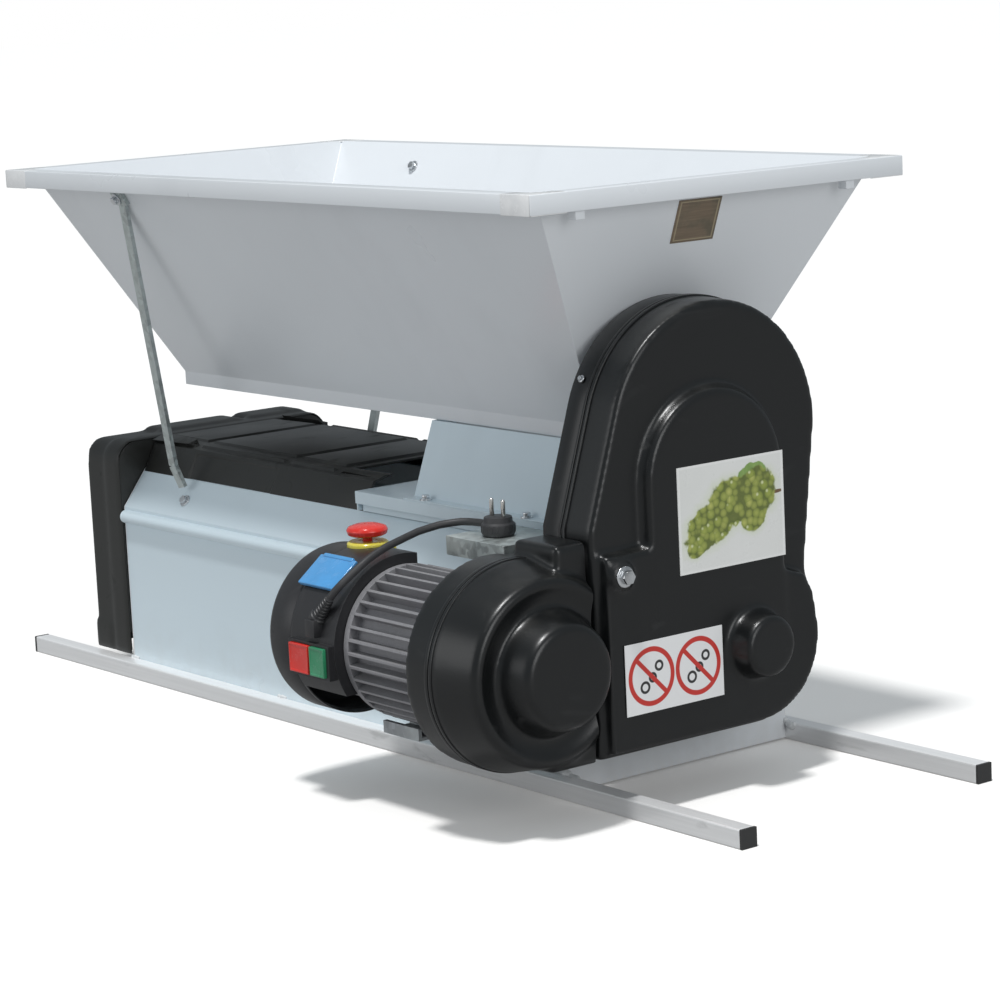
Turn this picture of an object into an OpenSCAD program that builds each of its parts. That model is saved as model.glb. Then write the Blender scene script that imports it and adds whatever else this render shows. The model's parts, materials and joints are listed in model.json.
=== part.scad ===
// Grape crusher destemmer: a sheet steel hopper with a feed auger over two fluted
// rollers, a beater shaft in a perforated cage below them, and a belt drive under
// moulded covers. Machine axes: +X from stem outlet to drive end, +Y to the rear.

/* [Frame] */
// Length of the two base rails
rail_length = 1330; // [1250:1:1500]
// Side of the square rail tube
rail_side = 20; // [18:1:30]
// Wall of the rail tube
rail_wall = 2; // [1.5:0.5:3]
// Distance between the inner faces of the two rails
rail_gap = 302; // [290:1:330]
// Rail length standing out past the drive end plate
rail_overhang = 280; // [250:1:320]

/* [Casing] */
// Length of the destemming casing between its end plates
casing_length = 839; // [820:1:900]
// Sheet thickness of the casing
sheet = 2; // [1.5:0.5:3]
// Height where the sloping shoulder starts
shoulder_z = 208; // [200:1:230]
// Height of the top of the shoulder
shoulder_top_z = 248; // [240:1:262]
// Half width at the top of the shoulder
shoulder_half = 120; // [114:1:124]
// Radius of the stiffening bead along the shoulder
bead_r = 8; // [5:0.5:8]
// Height of the flat top of the stem cover
cover_top_z = 287; // [280:1:295]
// Half width of the flat top of the stem cover
cover_top_half = 100; // [90:1:104]
// Wall of the moulded plastic covers
moulding = 3; // [2.5:0.5:4]
// Length of the stem outlet hood
outlet_length = 78; // [70:1:100]
// Length of the crusher box
box_length = 380; // [370:1:420]

/* [Hopper] */
// Outside length of the hopper rim
rim_length = 1000; // [980:1:1060]
// Outside width of the hopper rim
rim_width = 494; // [480:1:520]
// Height of the hopper rim above the floor
rim_z = 622; // [610:1:680]
// Depth of the folded rim
rim_depth = 18; // [14:1:24]
// Width of the folded rim lip
rim_lip = 27; // [22:1:30]
// Distance between the side walls at the bottom of the hopper
throat_width = 164; // [160:1:172]
// Height of the flat bottom of the hopper
trough_z = 354; // [350:1:358]
// Depth of the upright sides of the hopper trough
trough_depth = 16; // [12:1:20]

/* [Rollers and auger] */
// Outside radius of the fluted rollers
roller_r = 35.5; // [33:0.1:36.5]
// Half of the distance between the roller shafts
roller_half_gap = 38; // [37.8:0.1:39]
// Height of the roller shafts
roller_z = 330; // [328:1:333]
// Length of the rollers
roller_length = 250; // [200:1:256]
// Radius of the roller shafts
roller_shaft_r = 10; // [8:0.5:11]
// Outside radius of the feed auger
auger_r = 50; // [40:1:52]
// Height of the auger shaft
auger_z = 408; // [408:1:412]
// Radius of the auger shaft
auger_shaft_r = 10; // [8:0.5:11]
// Pitch of the auger flight
auger_pitch = 95; // [80:1:120]

/* [Destemmer] */
// Height of the beater shaft
beater_z = 150; // [148:1:155]
// Radius of the beater shaft
beater_shaft_r = 14; // [12:0.5:16]
// Radius to the tips of the beater pins
beater_tip_r = 82; // [70:1:84]
// Inside radius of the perforated cage
cage_r = 90; // [88:1:94]
// Radius of the holes in the cage
cage_hole_r = 12; // [8:0.5:13]

/* [Drive] */
// Radius of the motor pulley groove
motor_pulley_r = 30; // [26:1:34]
// Radius of the large pulley groove on the beater shaft
beater_pulley_r = 66; // [55:1:68]
// Radius of the small pulley groove on the beater shaft
small_pulley_r = 28; // [26:1:32]
// Radius of the large pulley groove on the roller shaft
roller_pulley_r = 104; // [90:1:106]
// Thickness of the drive belts
belt_thick = 8; // [6:0.5:9]
// Width of the drive belts
belt_width = 12; // [10:0.5:13]
// Running gap between a pulley and its belt
belt_gap = 0.5; // [0.4:0.1:1]
// Radial clearance of a shaft in its bearing
running_gap = 0.05; // [0.02:0.01:0.1]
// Gap between neighbouring parts that do not touch
part_gap = 1; // [0.5:0.5:2]

/* [Covers] */
// Radius of the tall arch of the belt cover
arch_r = 137; // [132:1:142]
// Depth of the back shell of the belt cover
back_shell_depth = 30; // [25:1:35]
// Depth of the front shell of the belt cover
front_shell_depth = 43; // [40:1:50]
// Height of the raised front of the belt cover
raise_depth = 14; // [10:1:18]
// Radius of the round motor cover
drum_r = 107; // [104:1:112]
// Length of the motor cover's rim that laps back over the motor's end shield
drum_lap = 20; // [10:1:24]

/* [Motor] */
// Radius over the fins of the motor
motor_r = 80; // [76:1:84]
// Radius of the fan cowl
cowl_r = 88; // [86:1:90]
// Length of the fan cowl
cowl_length = 50; // [45:1:60]
// Length of the finned motor housing, with its switch section
motor_length = 217; // [210:1:240]
// Number of motor fins
fin_count = 36; // [24:1:44]
// Travel of the start and stop buttons
button_travel = 3; // [2:0.5:4]
// Travel of the emergency stop button
mushroom_travel = 5; // [3:0.5:6]

/* [Hidden] */
$fn = 64;
eps = 0.01;

// Stations along X, measured from the left end of the hopper rim
casing_x0 = 58;
casing_x1 = casing_x0 + casing_length;
end_plate_t = 3;
end_plate_x1 = casing_x1 + end_plate_t;
rail_x1 = end_plate_x1 + rail_overhang;
rail_x0 = rail_x1 - rail_length;
plate_space = 32;
plate_x0 = end_plate_x1 + plate_space;
plate_t = 3;
cover_x0 = plate_x0 + plate_t;
cover_split_x = cover_x0 + back_shell_depth;
cover_face_x = cover_split_x + front_shell_depth;
raise_x = cover_face_x + raise_depth;
box_x0 = casing_x1 - box_length;

// Widths and heights of the casing
rail_y = rail_gap / 2 + rail_side / 2;
casing_half = rail_gap / 2;
casing_bottom_z = 2;
box_top_z = 272;
box_half = 130;
flange_t = 2;

// Hopper walls: inward run per unit of drop
wall_front = (rim_width / 2 - rim_lip - throat_width / 2 - 3)
    / (rim_z - rim_depth - trough_z - trough_depth);
wall_t = 2;
hopper_left_slope = 0.33;
hopper_right_slope = 0.40;
wall_top_z = rim_z;
wall_start_z = rim_z - rim_depth;
crease_z = trough_z + trough_depth;
lip_side = 24;
throat_x0 = lip_side + 4 + hopper_left_slope * (wall_start_z - crease_z);
throat_x1 = rim_length - lip_side - hopper_right_slope * (wall_start_z - crease_z);
chute_x0 = 608;
hopper_floor_x1 = chute_x0 + 8;

// Axes of the drive
u1 = [-roller_half_gap, roller_z];
u2 = [roller_half_gap, roller_z];
auger_axis = [0, auger_z];
beater_axis = [0, beater_z];
motor_axis = [-256, 162];

// Gears between the rollers and up to the auger
roller_gear_n = 19;
auger_pinion_n = 20;
auger_gear_n = 40;
auger_distance = norm(auger_axis - u2);
auger_angle = atan2(auger_axis[1] - u2[1], auger_axis[0] - u2[0]);
gear1_x = end_plate_x1 + 5;
gear1_t = 14;
gear2_x = cover_x0 + 4;
gear2_t = 8;

// Planes of the two belts
flange_side = 2;
groove_w = belt_width + 2 * belt_gap;
flange_rise = belt_thick + 1;
pulley_t = groove_w + 2 * flange_side;
plane1_x = gear2_x + gear2_t + 5;
plane2_x = plane1_x + pulley_t + 10;
rotor_x0 = casing_x0 + 2;
rotor_x1 = plane2_x + pulley_t + 3;

// Covers
arch_c = [-29, 366];
low_c = [12, 147];
low_r = 87;
cover_left = -198;
cover_bottom = 62;
cover_shoulder_z = 290;
notch = [88, 206];
low_shoulder = [94, 190];
inner_arch_c = [-42, 329];
inner_arch_r = 94;
motor_face_x = cover_split_x + front_shell_depth + 4;
drum_front_r = drum_r - 12;

// Motor stations
motor_x1 = plate_x0;
shield_t = 17;
motor_x0 = motor_x1 - shield_t - motor_length;
cowl_x0 = motor_x0 - cowl_length;
fins_x0 = motor_x0 + 85;
motor_core_r = 68;
motor_shaft_r = 9.5;

// Centre of the model's box, which the whole model is moved to
mid_x = (rail_x0 + rail_x1) / 2;
corner_t = 1.5;
mid_y = (motor_axis[0] - drum_r + rim_width / 2 + corner_t) / 2;

function unit(v) = v / norm(v);
// Outline of a loop drawn tightly round two circles
loop_steps = 30;
function polar(r, a) = r * [cos(a), sin(a)];
function loop_points(c1, r1, c2, r2) =
    let (d = c2 - c1, base = atan2(d[1], d[0]), a = acos((r1 - r2) / norm(d)))
    concat([for (i = [0:loop_steps]) c1 + polar(r1, base + a + i * (360 - 2 * a) / loop_steps)],
        [for (i = [0:loop_steps]) c2 + polar(r2, base - a + i * 2 * a / loop_steps)]);

module at_frame() { translate([-mid_x, -mid_y, 0]) children(); }

// A shape drawn in the Y-Z plane, carried along X from x0 to x1
module along_x(x0, x1) {
    translate([x0, 0, 0]) rotate([90, 0, 90]) linear_extrude(x1 - x0) children();
}
// A shape drawn in the X-Z plane, carried along Y from y0 to y1
module along_y(y0, y1) {
    translate([0, y1, 0]) rotate([90, 0, 0]) linear_extrude(y1 - y0) children();
}
module rod(x0, x1, at, r) {
    translate([x0, at[0], at[1]]) rotate([0, 90, 0]) cylinder(h = x1 - x0, r = r);
}
module cone(x0, x1, at, r0, r1) {
    translate([x0, at[0], at[1]]) rotate([0, 90, 0]) cylinder(h = x1 - x0, r1 = r0, r2 = r1);
}
module tube(x0, x1, at, r, bore) {
    difference() {
        rod(x0, x1, at, r);
        rod(x0 - 1, x1 + 1, at, bore);
    }
}
module block(a, b) { translate(a) cube(b - a); }
module round_rect(y0, y1, z0, z1, r) {
    translate([y0 + r, z0]) square([y1 - y0 - 2 * r, z1 - z0]);
    translate([y0, z0 + r]) square([y1 - y0, z1 - z0 - 2 * r]);
    for (y = [y0 + r, y1 - r], z = [z0 + r, z1 - r]) translate([y, z]) circle(r);
}
module belt(x0, c1, r1, c2, r2) {
    x = x0 + flange_side + belt_gap;
    along_x(x, x + belt_width) difference() {
        polygon(loop_points(c1, r1 + belt_gap + belt_thick, c2, r2 + belt_gap + belt_thick));
        polygon(loop_points(c1, r1 + belt_gap, c2, r2 + belt_gap));
    }
}
// Pulley with two flanges round a plain groove
module pulley(x0, at, r, bore, web_r = 0) {
    translate([x0, at[0], at[1]]) rotate([0, 90, 0]) difference() {
        union() {
            cylinder(h = pulley_t, r = r);
            cylinder(h = flange_side, r = r + flange_rise);
            translate([0, 0, pulley_t - flange_side]) cylinder(h = flange_side, r = r + flange_rise);
        }
        translate([0, 0, -1]) cylinder(h = pulley_t + 2, r = bore);
        if (web_r > 0) for (a = [0:60:300]) rotate(a) translate([(r + bore) / 2, 0, -1])
            cylinder(h = pulley_t + 2, r = web_r);
    }
}
// Spur gear outline with n trapezoid teeth on a pitch circle of radius pr
module gear2d(n, pr, phase) {
    m = 2 * pr / n;
    tip = pr + 0.8 * m;
    root = pr - 1.15 * m;
    p = 360 / n;
    polygon([for (i = [0:n - 1], k = [0:3])
        let (a = phase + i * p + [-0.27, -0.11, 0.11, 0.27][k] * p, r = [root, tip, tip, root][k])
        [r * cos(a), r * sin(a)]]);
}
module gear(x0, t, at, n, pr, bore, phase) {
    along_x(x0, x0 + t) translate(at) difference() {
        gear2d(n, pr, phase);
        circle(bore);
    }
}

// ---------- frame ----------
module rail(y) {
    difference() {
        block([rail_x0, y - rail_side / 2, 0], [rail_x1, y + rail_side / 2, rail_side]);
        block([rail_x0 - 1, y - rail_side / 2 + rail_wall, rail_wall],
            [rail_x1 + 1, y + rail_side / 2 - rail_wall, rail_side - rail_wall]);
    }
}
module rail_front() { color("lightgray") rail(-rail_y); }
module rail_rear() { color("lightgray") rail(rail_y); }
cap_t = 3;
cap_plug = 12;
module rail_end_cap(x, dir, y) {
    half = rail_side / 2;
    inner = half - rail_wall;
    x_out = x + dir * cap_t;
    x_in = x - dir * cap_plug;
    block([min(x, x_out), y - half, 0], [max(x, x_out), y + half, rail_side]);
    block([min(x, x_in), y - inner, rail_wall], [max(x, x_in), y + inner, rail_side - rail_wall]);
}
module rail_end_caps() {
    color("black") for (y = [-rail_y, rail_y]) {
        rail_end_cap(rail_x0, -1, y);
        rail_end_cap(rail_x1, 1, y);
    }
}

// ---------- casing ----------
shoulder_lip = 10;
bead_steps = 12;
function half_turn(c, r) = [for (i = [0:bead_steps]) c + polar(r, 270 - i * 180 / bead_steps)];
function reversed(list) = [for (i = [len(list) - 1:-1:0]) list[i]];
// The bead is a half round pushed outwards, so the sheet keeps its thickness round it
module panel_outline() {
    y0 = -casing_half;
    bead_c = [y0 + sheet, shoulder_z - bead_r - 4];
    polygon(concat([[y0, casing_bottom_z]], half_turn(bead_c - [sheet, 0], bead_r),
        [[y0, shoulder_z], [-shoulder_half, shoulder_top_z],
        [-shoulder_half + shoulder_lip, shoulder_top_z],
        [-shoulder_half + shoulder_lip, shoulder_top_z - sheet],
        [-shoulder_half + sheet * 0.6, shoulder_top_z - sheet], [y0 + sheet, shoulder_z - sheet * 0.6]],
        reversed(half_turn(bead_c, bead_r - sheet)), [[y0 + sheet, casing_bottom_z]]));
}
module body_front_panel() {
    color("white") along_x(casing_x0, casing_x1) panel_outline();
}
module body_rear_panel() {
    color("white") mirror([0, 1, 0]) along_x(casing_x0, casing_x1) panel_outline();
}
// Outline of an end plate up to height z, inside the rails
module end_outline(z) {
    polygon([[-casing_half, casing_bottom_z], [-casing_half, shoulder_z],
        [-shoulder_half, shoulder_top_z], [-cover_top_half, z], [cover_top_half, z],
        [shoulder_half, shoulder_top_z], [casing_half, shoulder_z], [casing_half, casing_bottom_z]]);
}
stem_hole_r = cage_r - 4;
module stem_end_plate() {
    color("white") along_x(casing_x0 - sheet, casing_x0) difference() {
        end_outline(shoulder_top_z + 24);
        translate(beater_axis) circle(stem_hole_r);
    }
}
module drive_end_plate() {
    color("white") along_x(casing_x1, end_plate_x1) difference() {
        end_outline(trough_z - 2);
        translate(beater_axis) circle(beater_shaft_r + 3);
        for (c = [u1, u2]) translate(c) circle(roller_shaft_r + 3);
    }
}
cage_t = 2;
cage_x0 = casing_x0 + 18;
cage_x1 = casing_x1 - 6;
cage_rows = 13;
cage_open_z = 40;
module destemming_cage() {
    step = (cage_x1 - cage_x0 - 60) / (cage_rows - 1);
    color("silver") difference() {
        tube(cage_x0, cage_x1, beater_axis, cage_r + cage_t, cage_r);
        block([cage_x0 - 1, -cage_r - 9, beater_z + cage_open_z],
            [cage_x1 + 1, cage_r + 9, beater_z + cage_r + 9]);
        for (i = [0:cage_rows - 1], a = [-60:30:60])
            translate([cage_x0 + 30 + i * step, beater_axis[0], beater_axis[1]])
                rotate([a, 0, 0]) translate([0, 0, -cage_r - 9]) cylinder(h = 30, r = cage_hole_r);
    }
}
box_skirt = 32;
module crusher_box() {
    color("white") {
        difference() {
            block([box_x0, -box_half, box_top_z - flange_t], [casing_x1, box_half, box_top_z]);
            block([chute_x0 + 6, -box_half + 18, box_top_z - 9],
                [casing_x1 + 1, box_half - 18, box_top_z + 9]);
        }
        for (s = [-1, 1]) {
            block([box_x0, min(s * box_half, s * (box_half - 2)), box_top_z - 14],
                [casing_x1, max(s * box_half, s * (box_half - 2)), box_top_z - flange_t]);
            block([box_x0 + 4, min(s * (box_half - 9), s * (box_half - 7)), box_top_z - box_skirt + 9],
                [casing_x1, max(s * (box_half - 9), s * (box_half - 7)), box_top_z - flange_t]);
        }
        block([box_x0, -box_half + 2, shoulder_top_z + 2],
            [box_x0 + 2, box_half - 2, box_top_z - flange_t]);
    }
}
chute_half_top = throat_width / 2 + 4;
chute_half_bottom = box_half - 14;
chute_top_z = trough_z - 0.5;
module chute_outline(g) {
    polygon([[-chute_half_bottom + g, box_top_z], [-chute_half_top + g, chute_top_z],
        [chute_half_top - g, chute_top_z], [chute_half_bottom - g, box_top_z]]);
}
chute_foot = 14;
chute_bolt_r = 4.5;
module feed_chute() {
    color("aliceblue") difference() {
        union() {
            along_x(chute_x0, casing_x1) chute_outline(0);
            for (s = [0, 1]) mirror([0, s, 0]) block([chute_x0, chute_half_bottom - 4, box_top_z],
                [casing_x1, chute_half_bottom + chute_foot, box_top_z + flange_t]);
        }
        along_x(chute_x0 + sheet, casing_x1 + 1) chute_outline(sheet);
        block([chute_x0 + sheet, -chute_half_bottom + 9, box_top_z - 1],
            [casing_x1 + 1, chute_half_bottom - 9, box_top_z + 9]);
        block([hopper_floor_x1, -chute_half_top + sheet, chute_top_z - 9],
            [casing_x1 + 1, chute_half_top - sheet, chute_top_z + 9]);
        for (c = [u1, u2]) rod(chute_x0 - 9, chute_x0 + 9, c, roller_shaft_r + 1);
    }
}

// ---------- hopper ----------
rim_front_y = rim_width / 2 - rim_lip + wall_front * rim_depth - 3;
module hopper_yz(g, z0) {
    polygon([[-throat_width / 2 + g, z0], [-throat_width / 2 + g, crease_z], [-rim_front_y + g, wall_top_z],
        [rim_front_y - g, wall_top_z], [throat_width / 2 - g, crease_z], [throat_width / 2 - g, z0]]);
}
module hopper_xz(g, z0) {
    polygon([[throat_x0 + g, z0], [throat_x0 + g, crease_z],
        [throat_x0 - hopper_left_slope * (wall_top_z - crease_z) + g, wall_top_z],
        [throat_x1 + hopper_right_slope * (wall_top_z - crease_z) - g, wall_top_z],
        [throat_x1 - g, crease_z], [throat_x1 - g, z0]]);
}
module hopper_solid(g, z0) {
    intersection() {
        along_x(0, rim_length) hopper_yz(g, z0);
        along_y(-rim_width, rim_width) hopper_xz(g, z0);
    }
}
rim_t = 2;
tab = [12, 12, 8];
module hopper() {
    half = rim_width / 2;
    color("white") difference() {
        union() {
            hopper_solid(0, trough_z);
            difference() {
                block([0, -half, wall_start_z], [rim_length, half, rim_z]);
                block([rim_t, -half + rim_t, wall_start_z - 1],
                    [rim_length - rim_t, half - rim_t, rim_z - rim_t]);
            }
            for (y = [-190, 170]) translate([rim_length - rim_t - tab[0], y, wall_start_z - tab[2]])
                cube([tab[0], tab[1], tab[2] + rim_depth - rim_t]);
        }
        hopper_solid(wall_t * 1.15, trough_z + wall_t);
        translate([0, 0, rim_z - 1]) linear_extrude(9) translate([14.5, -rim_front_y + 3]) square(
            [throat_x1 + hopper_right_slope * (wall_top_z - crease_z) - 17, 2 * rim_front_y - 6]);
        block([hopper_floor_x1, -throat_width / 2 + 4, trough_z - 1],
            [throat_x1 - 3, throat_width / 2 - 4, trough_z + 9]);
        rod(60, rim_length, auger_axis, auger_shaft_r + 1.5);
    }
}
corner_side = 46;
module corner_cap(sx, sy) {
    x = sx < 0 ? 0 : rim_length;
    y = sy * rim_width / 2;
    far_x = x - sx * corner_side;
    far_y = y - sy * corner_side;
    out_x = x + sx * corner_t;
    out_y = y + sy * corner_t;
    lip = rim_lip - 6;
    difference() {
        block([min(out_x, far_x), min(out_y, far_y), wall_start_z - 3],
            [max(out_x, far_x), max(out_y, far_y), rim_z + corner_t]);
        block([min(x, far_x - sx), min(y, far_y - sy), wall_start_z - 9],
            [max(x, far_x - sx), max(y, far_y - sy), rim_z]);
        block([min(x - sx * lip, far_x - sx), min(y - sy * lip, far_y - sy), rim_z - 9],
            [max(x - sx * lip, far_x - sx), max(y - sy * lip, far_y - sy), rim_z + 9]);
    }
}
module hopper_corner_caps() {
    color("white") for (sx = [-1, 1], sy = [-1, 1]) corner_cap(sx, sy);
}

// ---------- struts and bolts ----------
strut_w = 13;
strut_t = 5;
strut_x = 199;
strut_lug_w = 22;
strut_lug_z = [587, 602];
strut_bolt_z = 595;
strut_knee = [167, -145, 268];
strut_foot = [172, -137, 242];
wall_tilt = atan(wall_front);
wall_out = [0, -cos(wall_tilt), -sin(wall_tilt)];
// Point at height z, a distance t outside the front wall of the hopper
function on_wall(x, z, t) = [x, -throat_width / 2 - wall_front * (z - crease_z), z] + t * wall_out;
// Flat bar of width w from a to b
module link(a, b, w) {
    d = b - a;
    l = norm(d);
    yaw = atan2(d[1], d[0]);
    pitch = acos(d[2] / l);
    translate(a) rotate([0, pitch, yaw]) rotate([0, 0, -yaw]) translate([-w / 2, -strut_t / 2, 0])
        cube([w, strut_t, l]);
}
module strut_shape() {
    lug_gap = strut_t / 2 + 0.2;
    lug_low = on_wall(strut_x, strut_lug_z[0], lug_gap);
    link(strut_knee, lug_low, strut_w);
    link(strut_foot, strut_knee, strut_w);
    link(lug_low, on_wall(strut_x, strut_lug_z[1], lug_gap), strut_lug_w);
}
module strut_front() { color("darkseagreen") strut_shape(); }
module strut_rear() { color("darkseagreen") mirror([0, 1, 0]) strut_shape(); }
// Hexagon bolt head with a washer, along direction dir, seated at point p
module bolt_head(p, dir, r) {
    yaw = atan2(dir[1], dir[0]);
    pitch = acos(dir[2] / norm(dir));
    translate(p) rotate([0, pitch, yaw]) {
        cylinder(h = 1.5, r = r * 1.5);
        translate([0, 0, 1.5]) cylinder(h = r * 0.9, r = r, $fn = 6);
    }
}
chute_bolt_x = [640, 815];
strut_bolt_r = 5;
strut_bolt_x = strut_x - 3;
module frame_bolts() {
    shoulder_run = unit([0, shoulder_top_z - shoulder_z, casing_half - shoulder_half]);
    foot_bolt = [strut_foot[0] + 4, -casing_half, shoulder_z]
        + 22 * [0, shoulder_run[2], shoulder_run[1]];
    color("silver") {
        for (s = [0, 1]) mirror([0, s, 0]) {
            bolt_head(foot_bolt + 0.1 * [0, -shoulder_run[1], shoulder_run[2]],
                [0, -shoulder_run[1], shoulder_run[2]], strut_bolt_r);
            bolt_head(on_wall(strut_bolt_x, strut_bolt_z, strut_t + 0.3), wall_out, strut_bolt_r);
            bolt_head(on_wall(strut_bolt_x, strut_bolt_z, -wall_t - 0.1), -wall_out, strut_bolt_r);
        }
        for (s = [-1, 1], x = chute_bolt_x)
            bolt_head([x, s * (chute_half_bottom + 1.6 * chute_bolt_r), box_top_z + flange_t],
                [0, 0, 1], chute_bolt_r);
    }
}
plate_size = [57, 47, 1];
plate_low_z = 556;
module rating_plate() {
    x = throat_x1 + hopper_right_slope * (plate_low_z - crease_z);
    color("sienna") translate([x, -37, plate_low_z]) rotate([0, atan(hopper_right_slope), 0])
        translate([0.1, 0, 0]) cube([plate_size[2], plate_size[0], plate_size[1]]);
}

// ---------- stem cover and outlet ----------
stem_cover_x0 = casing_x0;
vent_x0 = casing_x0 + 380;
module stem_cover_outline(g) {
    polygon([[-shoulder_half + g, shoulder_top_z], [-cover_top_half + g * 0.6, cover_top_z - g],
        [cover_top_half - g * 0.6, cover_top_z - g], [shoulder_half - g, shoulder_top_z]]);
}
rib = 3;
module stem_cover() {
    color("dimgray") difference() {
        union() {
            along_x(stem_cover_x0, box_x0 - part_gap) difference() {
                stem_cover_outline(0);
                translate([0, -eps]) stem_cover_outline(moulding);
            }
            for (s = [-1, 1]) block([stem_cover_x0, s * (cover_top_half - 14) - rib, cover_top_z - 1],
                [vent_x0 - 9, s * (cover_top_half - 14) + rib, cover_top_z + rib]);
        }
        block([vent_x0, -cover_top_half + 9, cover_top_z - 9],
            [box_x0 + 9, cover_top_half - 9, cover_top_z + 9]);
    }
}
outlet_half = casing_half + 3;
outlet_x1 = casing_x0 - sheet;
outlet_x0 = outlet_x1 - outlet_length;
outlet_bottom_z = rail_side + 2;
outlet_corner = 26;
lip_r = 5;
module outlet_outline(g) {
    round_rect(-outlet_half + g, outlet_half - g, outlet_bottom_z - 60, cover_top_z + 1 - g,
        outlet_corner - g);
}
module stem_outlet() {
    color("black") difference() {
        union() {
            along_x(outlet_x0, outlet_x1) outlet_outline(0);
            along_x(outlet_x1 - 34, outlet_x1) outlet_outline(-2);
            along_x(outlet_x0 + 6, outlet_x1 - 20) for (y = [-58, 62]) translate([y - 8, cover_top_z - 9])
                square([112, 14]);
        }
        along_x(outlet_x0 + moulding, outlet_x1 + 1) outlet_outline(moulding);
        block([outlet_x0 - 9, -outlet_half - 9, -90], [outlet_x1 + 9, outlet_half + 9, outlet_bottom_z]);
    }
}

// ---------- transmission plate and bearings ----------
plate_left = -140;
plate_right = 88;
plate_bottom_z = 74;
wing_r = 86;
module transmission_plate() {
    color("gainsboro") along_x(plate_x0, cover_x0) difference() {
        union() {
            translate([plate_left, plate_bottom_z]) square([plate_right - plate_left, 200]);
            translate(u1) circle(118);
            translate([-44, beater_z]) square([88, auger_z - beater_z]);
            translate(auger_axis) circle(44);
            polygon(loop_points(motor_axis, wing_r, [-120, motor_axis[1]], wing_r));
        }
        translate(beater_axis) circle(beater_shaft_r + 3);
        translate(u1) circle(roller_shaft_r + 3);
        translate(u2) circle(roller_shaft_r + 3);
        translate(auger_axis) circle(auger_shaft_r + 3);
        translate(motor_axis) circle(motor_shaft_r + 12);
    }
}
spacer_spots = [[-110, 90], [70, 96], [-125, 190], [76, 250]];
module plate_spacers() {
    color("silver") for (p = spacer_spots) rod(end_plate_x1, plate_x0, p, 9);
}
bearing_t = 12;
bearing_r = 22;
module flange_bearing(x0, at, shaft) {
    difference() {
        union() {
            rod(x0, x0 + bearing_t, at, bearing_r);
            along_x(x0, x0 + 5) translate(at) for (a = [45, 225])
                rotate(a) translate([0, -9]) square([31, 18]);
        }
        rod(x0 - 1, x0 + bearing_t + 1, at, shaft + running_gap);
        for (a = [45, 225]) rod(x0 - 1, x0 + 6, at + 26 * [cos(a), sin(a)], 3);
    }
}
module bush(x0, x1, at, shaft, r) { tube(x0, x1, at, r, shaft + running_gap); }
module flange_bearings() {
    left_wall_x = throat_x0 - hopper_left_slope * (auger_z - crease_z);
    color("darkgray") {
        flange_bearing(end_plate_x1, beater_axis, beater_shaft_r);
        for (c = [u1, u2]) {
            bush(plate_x0 - 6, plate_x0, c, roller_shaft_r, 20);
            bush(chute_x0 + sheet, chute_x0 + sheet + 6, c, roller_shaft_r, 20);
        }
        bush(plate_x0 - 8, plate_x0, auger_axis, auger_shaft_r, 18);
        difference() {
            rod(left_wall_x - 12, left_wall_x + 9, auger_axis, 18);
            rod(left_wall_x - 5, left_wall_x + 10, auger_axis, auger_shaft_r + running_gap);
            hopper_solid(-0.01, 0);
        }
    }
}
module rotor_end_bearing() {
    half = 17;
    color("darkgray") difference() {
        union() {
            block([casing_x0, -half, beater_z - 106], [casing_x0 + 5, half, beater_z + 106]);
            rod(casing_x0, casing_x0 + 14, beater_axis, bearing_r + 4);
        }
        rod(casing_x0 + 2, casing_x0 + 15, beater_axis, beater_shaft_r + running_gap);
    }
}

// ---------- belt covers ----------
cover_steps = 36;
low_end_angle = 20;
// Outline of the main cover, moved inwards by g
function cover_points(g) =
    let (r = arch_r - g, left = [cover_left + g, cover_shoulder_z], d = left - arch_c,
        start = atan2(d[1], d[0]) - acos(r / norm(d)), span = start + 360)
    concat([[cover_left + g, cover_bottom + g], left],
        [for (i = [0:cover_steps]) arch_c + polar(r, span - i * span / cover_steps)],
        [[notch[0] - g, notch[1] + 6], low_shoulder - [g, 0]],
        [for (i = [0:cover_steps / 2]) low_c + polar(low_r - g, low_end_angle - 8
            - i * (low_end_angle + 82) / (cover_steps / 2))]);
module cover_outline(g) { polygon(cover_points(g)); }
module raised_outline(g) {
    translate(inner_arch_c) circle(inner_arch_r - g);
    translate([inner_arch_c[0] - inner_arch_r + g, low_c[1]]) square(
        [2 * (inner_arch_r - g), inner_arch_c[1] - low_c[1]]);
    translate(low_c) circle(low_r - 7 - g);
    polygon([[cover_left + 6 + g, cover_bottom + 6 + g], [cover_left + 6 + g, cover_shoulder_z - 12 - g],
        [inner_arch_c[0], cover_shoulder_z - 20 - g], [notch[0] - 14 - g, notch[1]], low_c,
        [low_c[0], cover_bottom + 6 + g]]);
}
cover_rim = 1.5;
boss_base_r = 36;
boss_front_r = 30;
boss_depth = 28;
module cover_back_shell() {
    color("black") along_x(cover_x0, cover_split_x) difference() {
        cover_outline(0);
        cover_outline(moulding);
    }
}
belt_gate_z = [beater_z - 84, beater_z + 92];
module belt_cover() {
    color("black") difference() {
        union() {
            along_x(cover_split_x, cover_face_x) cover_outline(0);
            along_x(cover_split_x, cover_split_x + 5) cover_outline(-cover_rim);
            along_x(cover_face_x - 1, raise_x) raised_outline(0);
            cone(raise_x - 1, raise_x + boss_depth, beater_axis, boss_base_r, boss_front_r);
            rod(cover_face_x, raise_x + 6, lug_at, 13);
        }
        along_x(cover_split_x - 1, cover_face_x - moulding) cover_outline(moulding);
        along_x(cover_face_x - moulding - 1, raise_x - moulding) raised_outline(moulding);
        rod(raise_x - moulding - 1, raise_x + boss_depth - moulding, beater_axis, boss_front_r - moulding);
        block([cover_split_x - 1, cover_left - 9, belt_gate_z[0]],
            [cover_face_x - moulding, cover_left + moulding + 1, belt_gate_z[1]]);
    }
}
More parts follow.
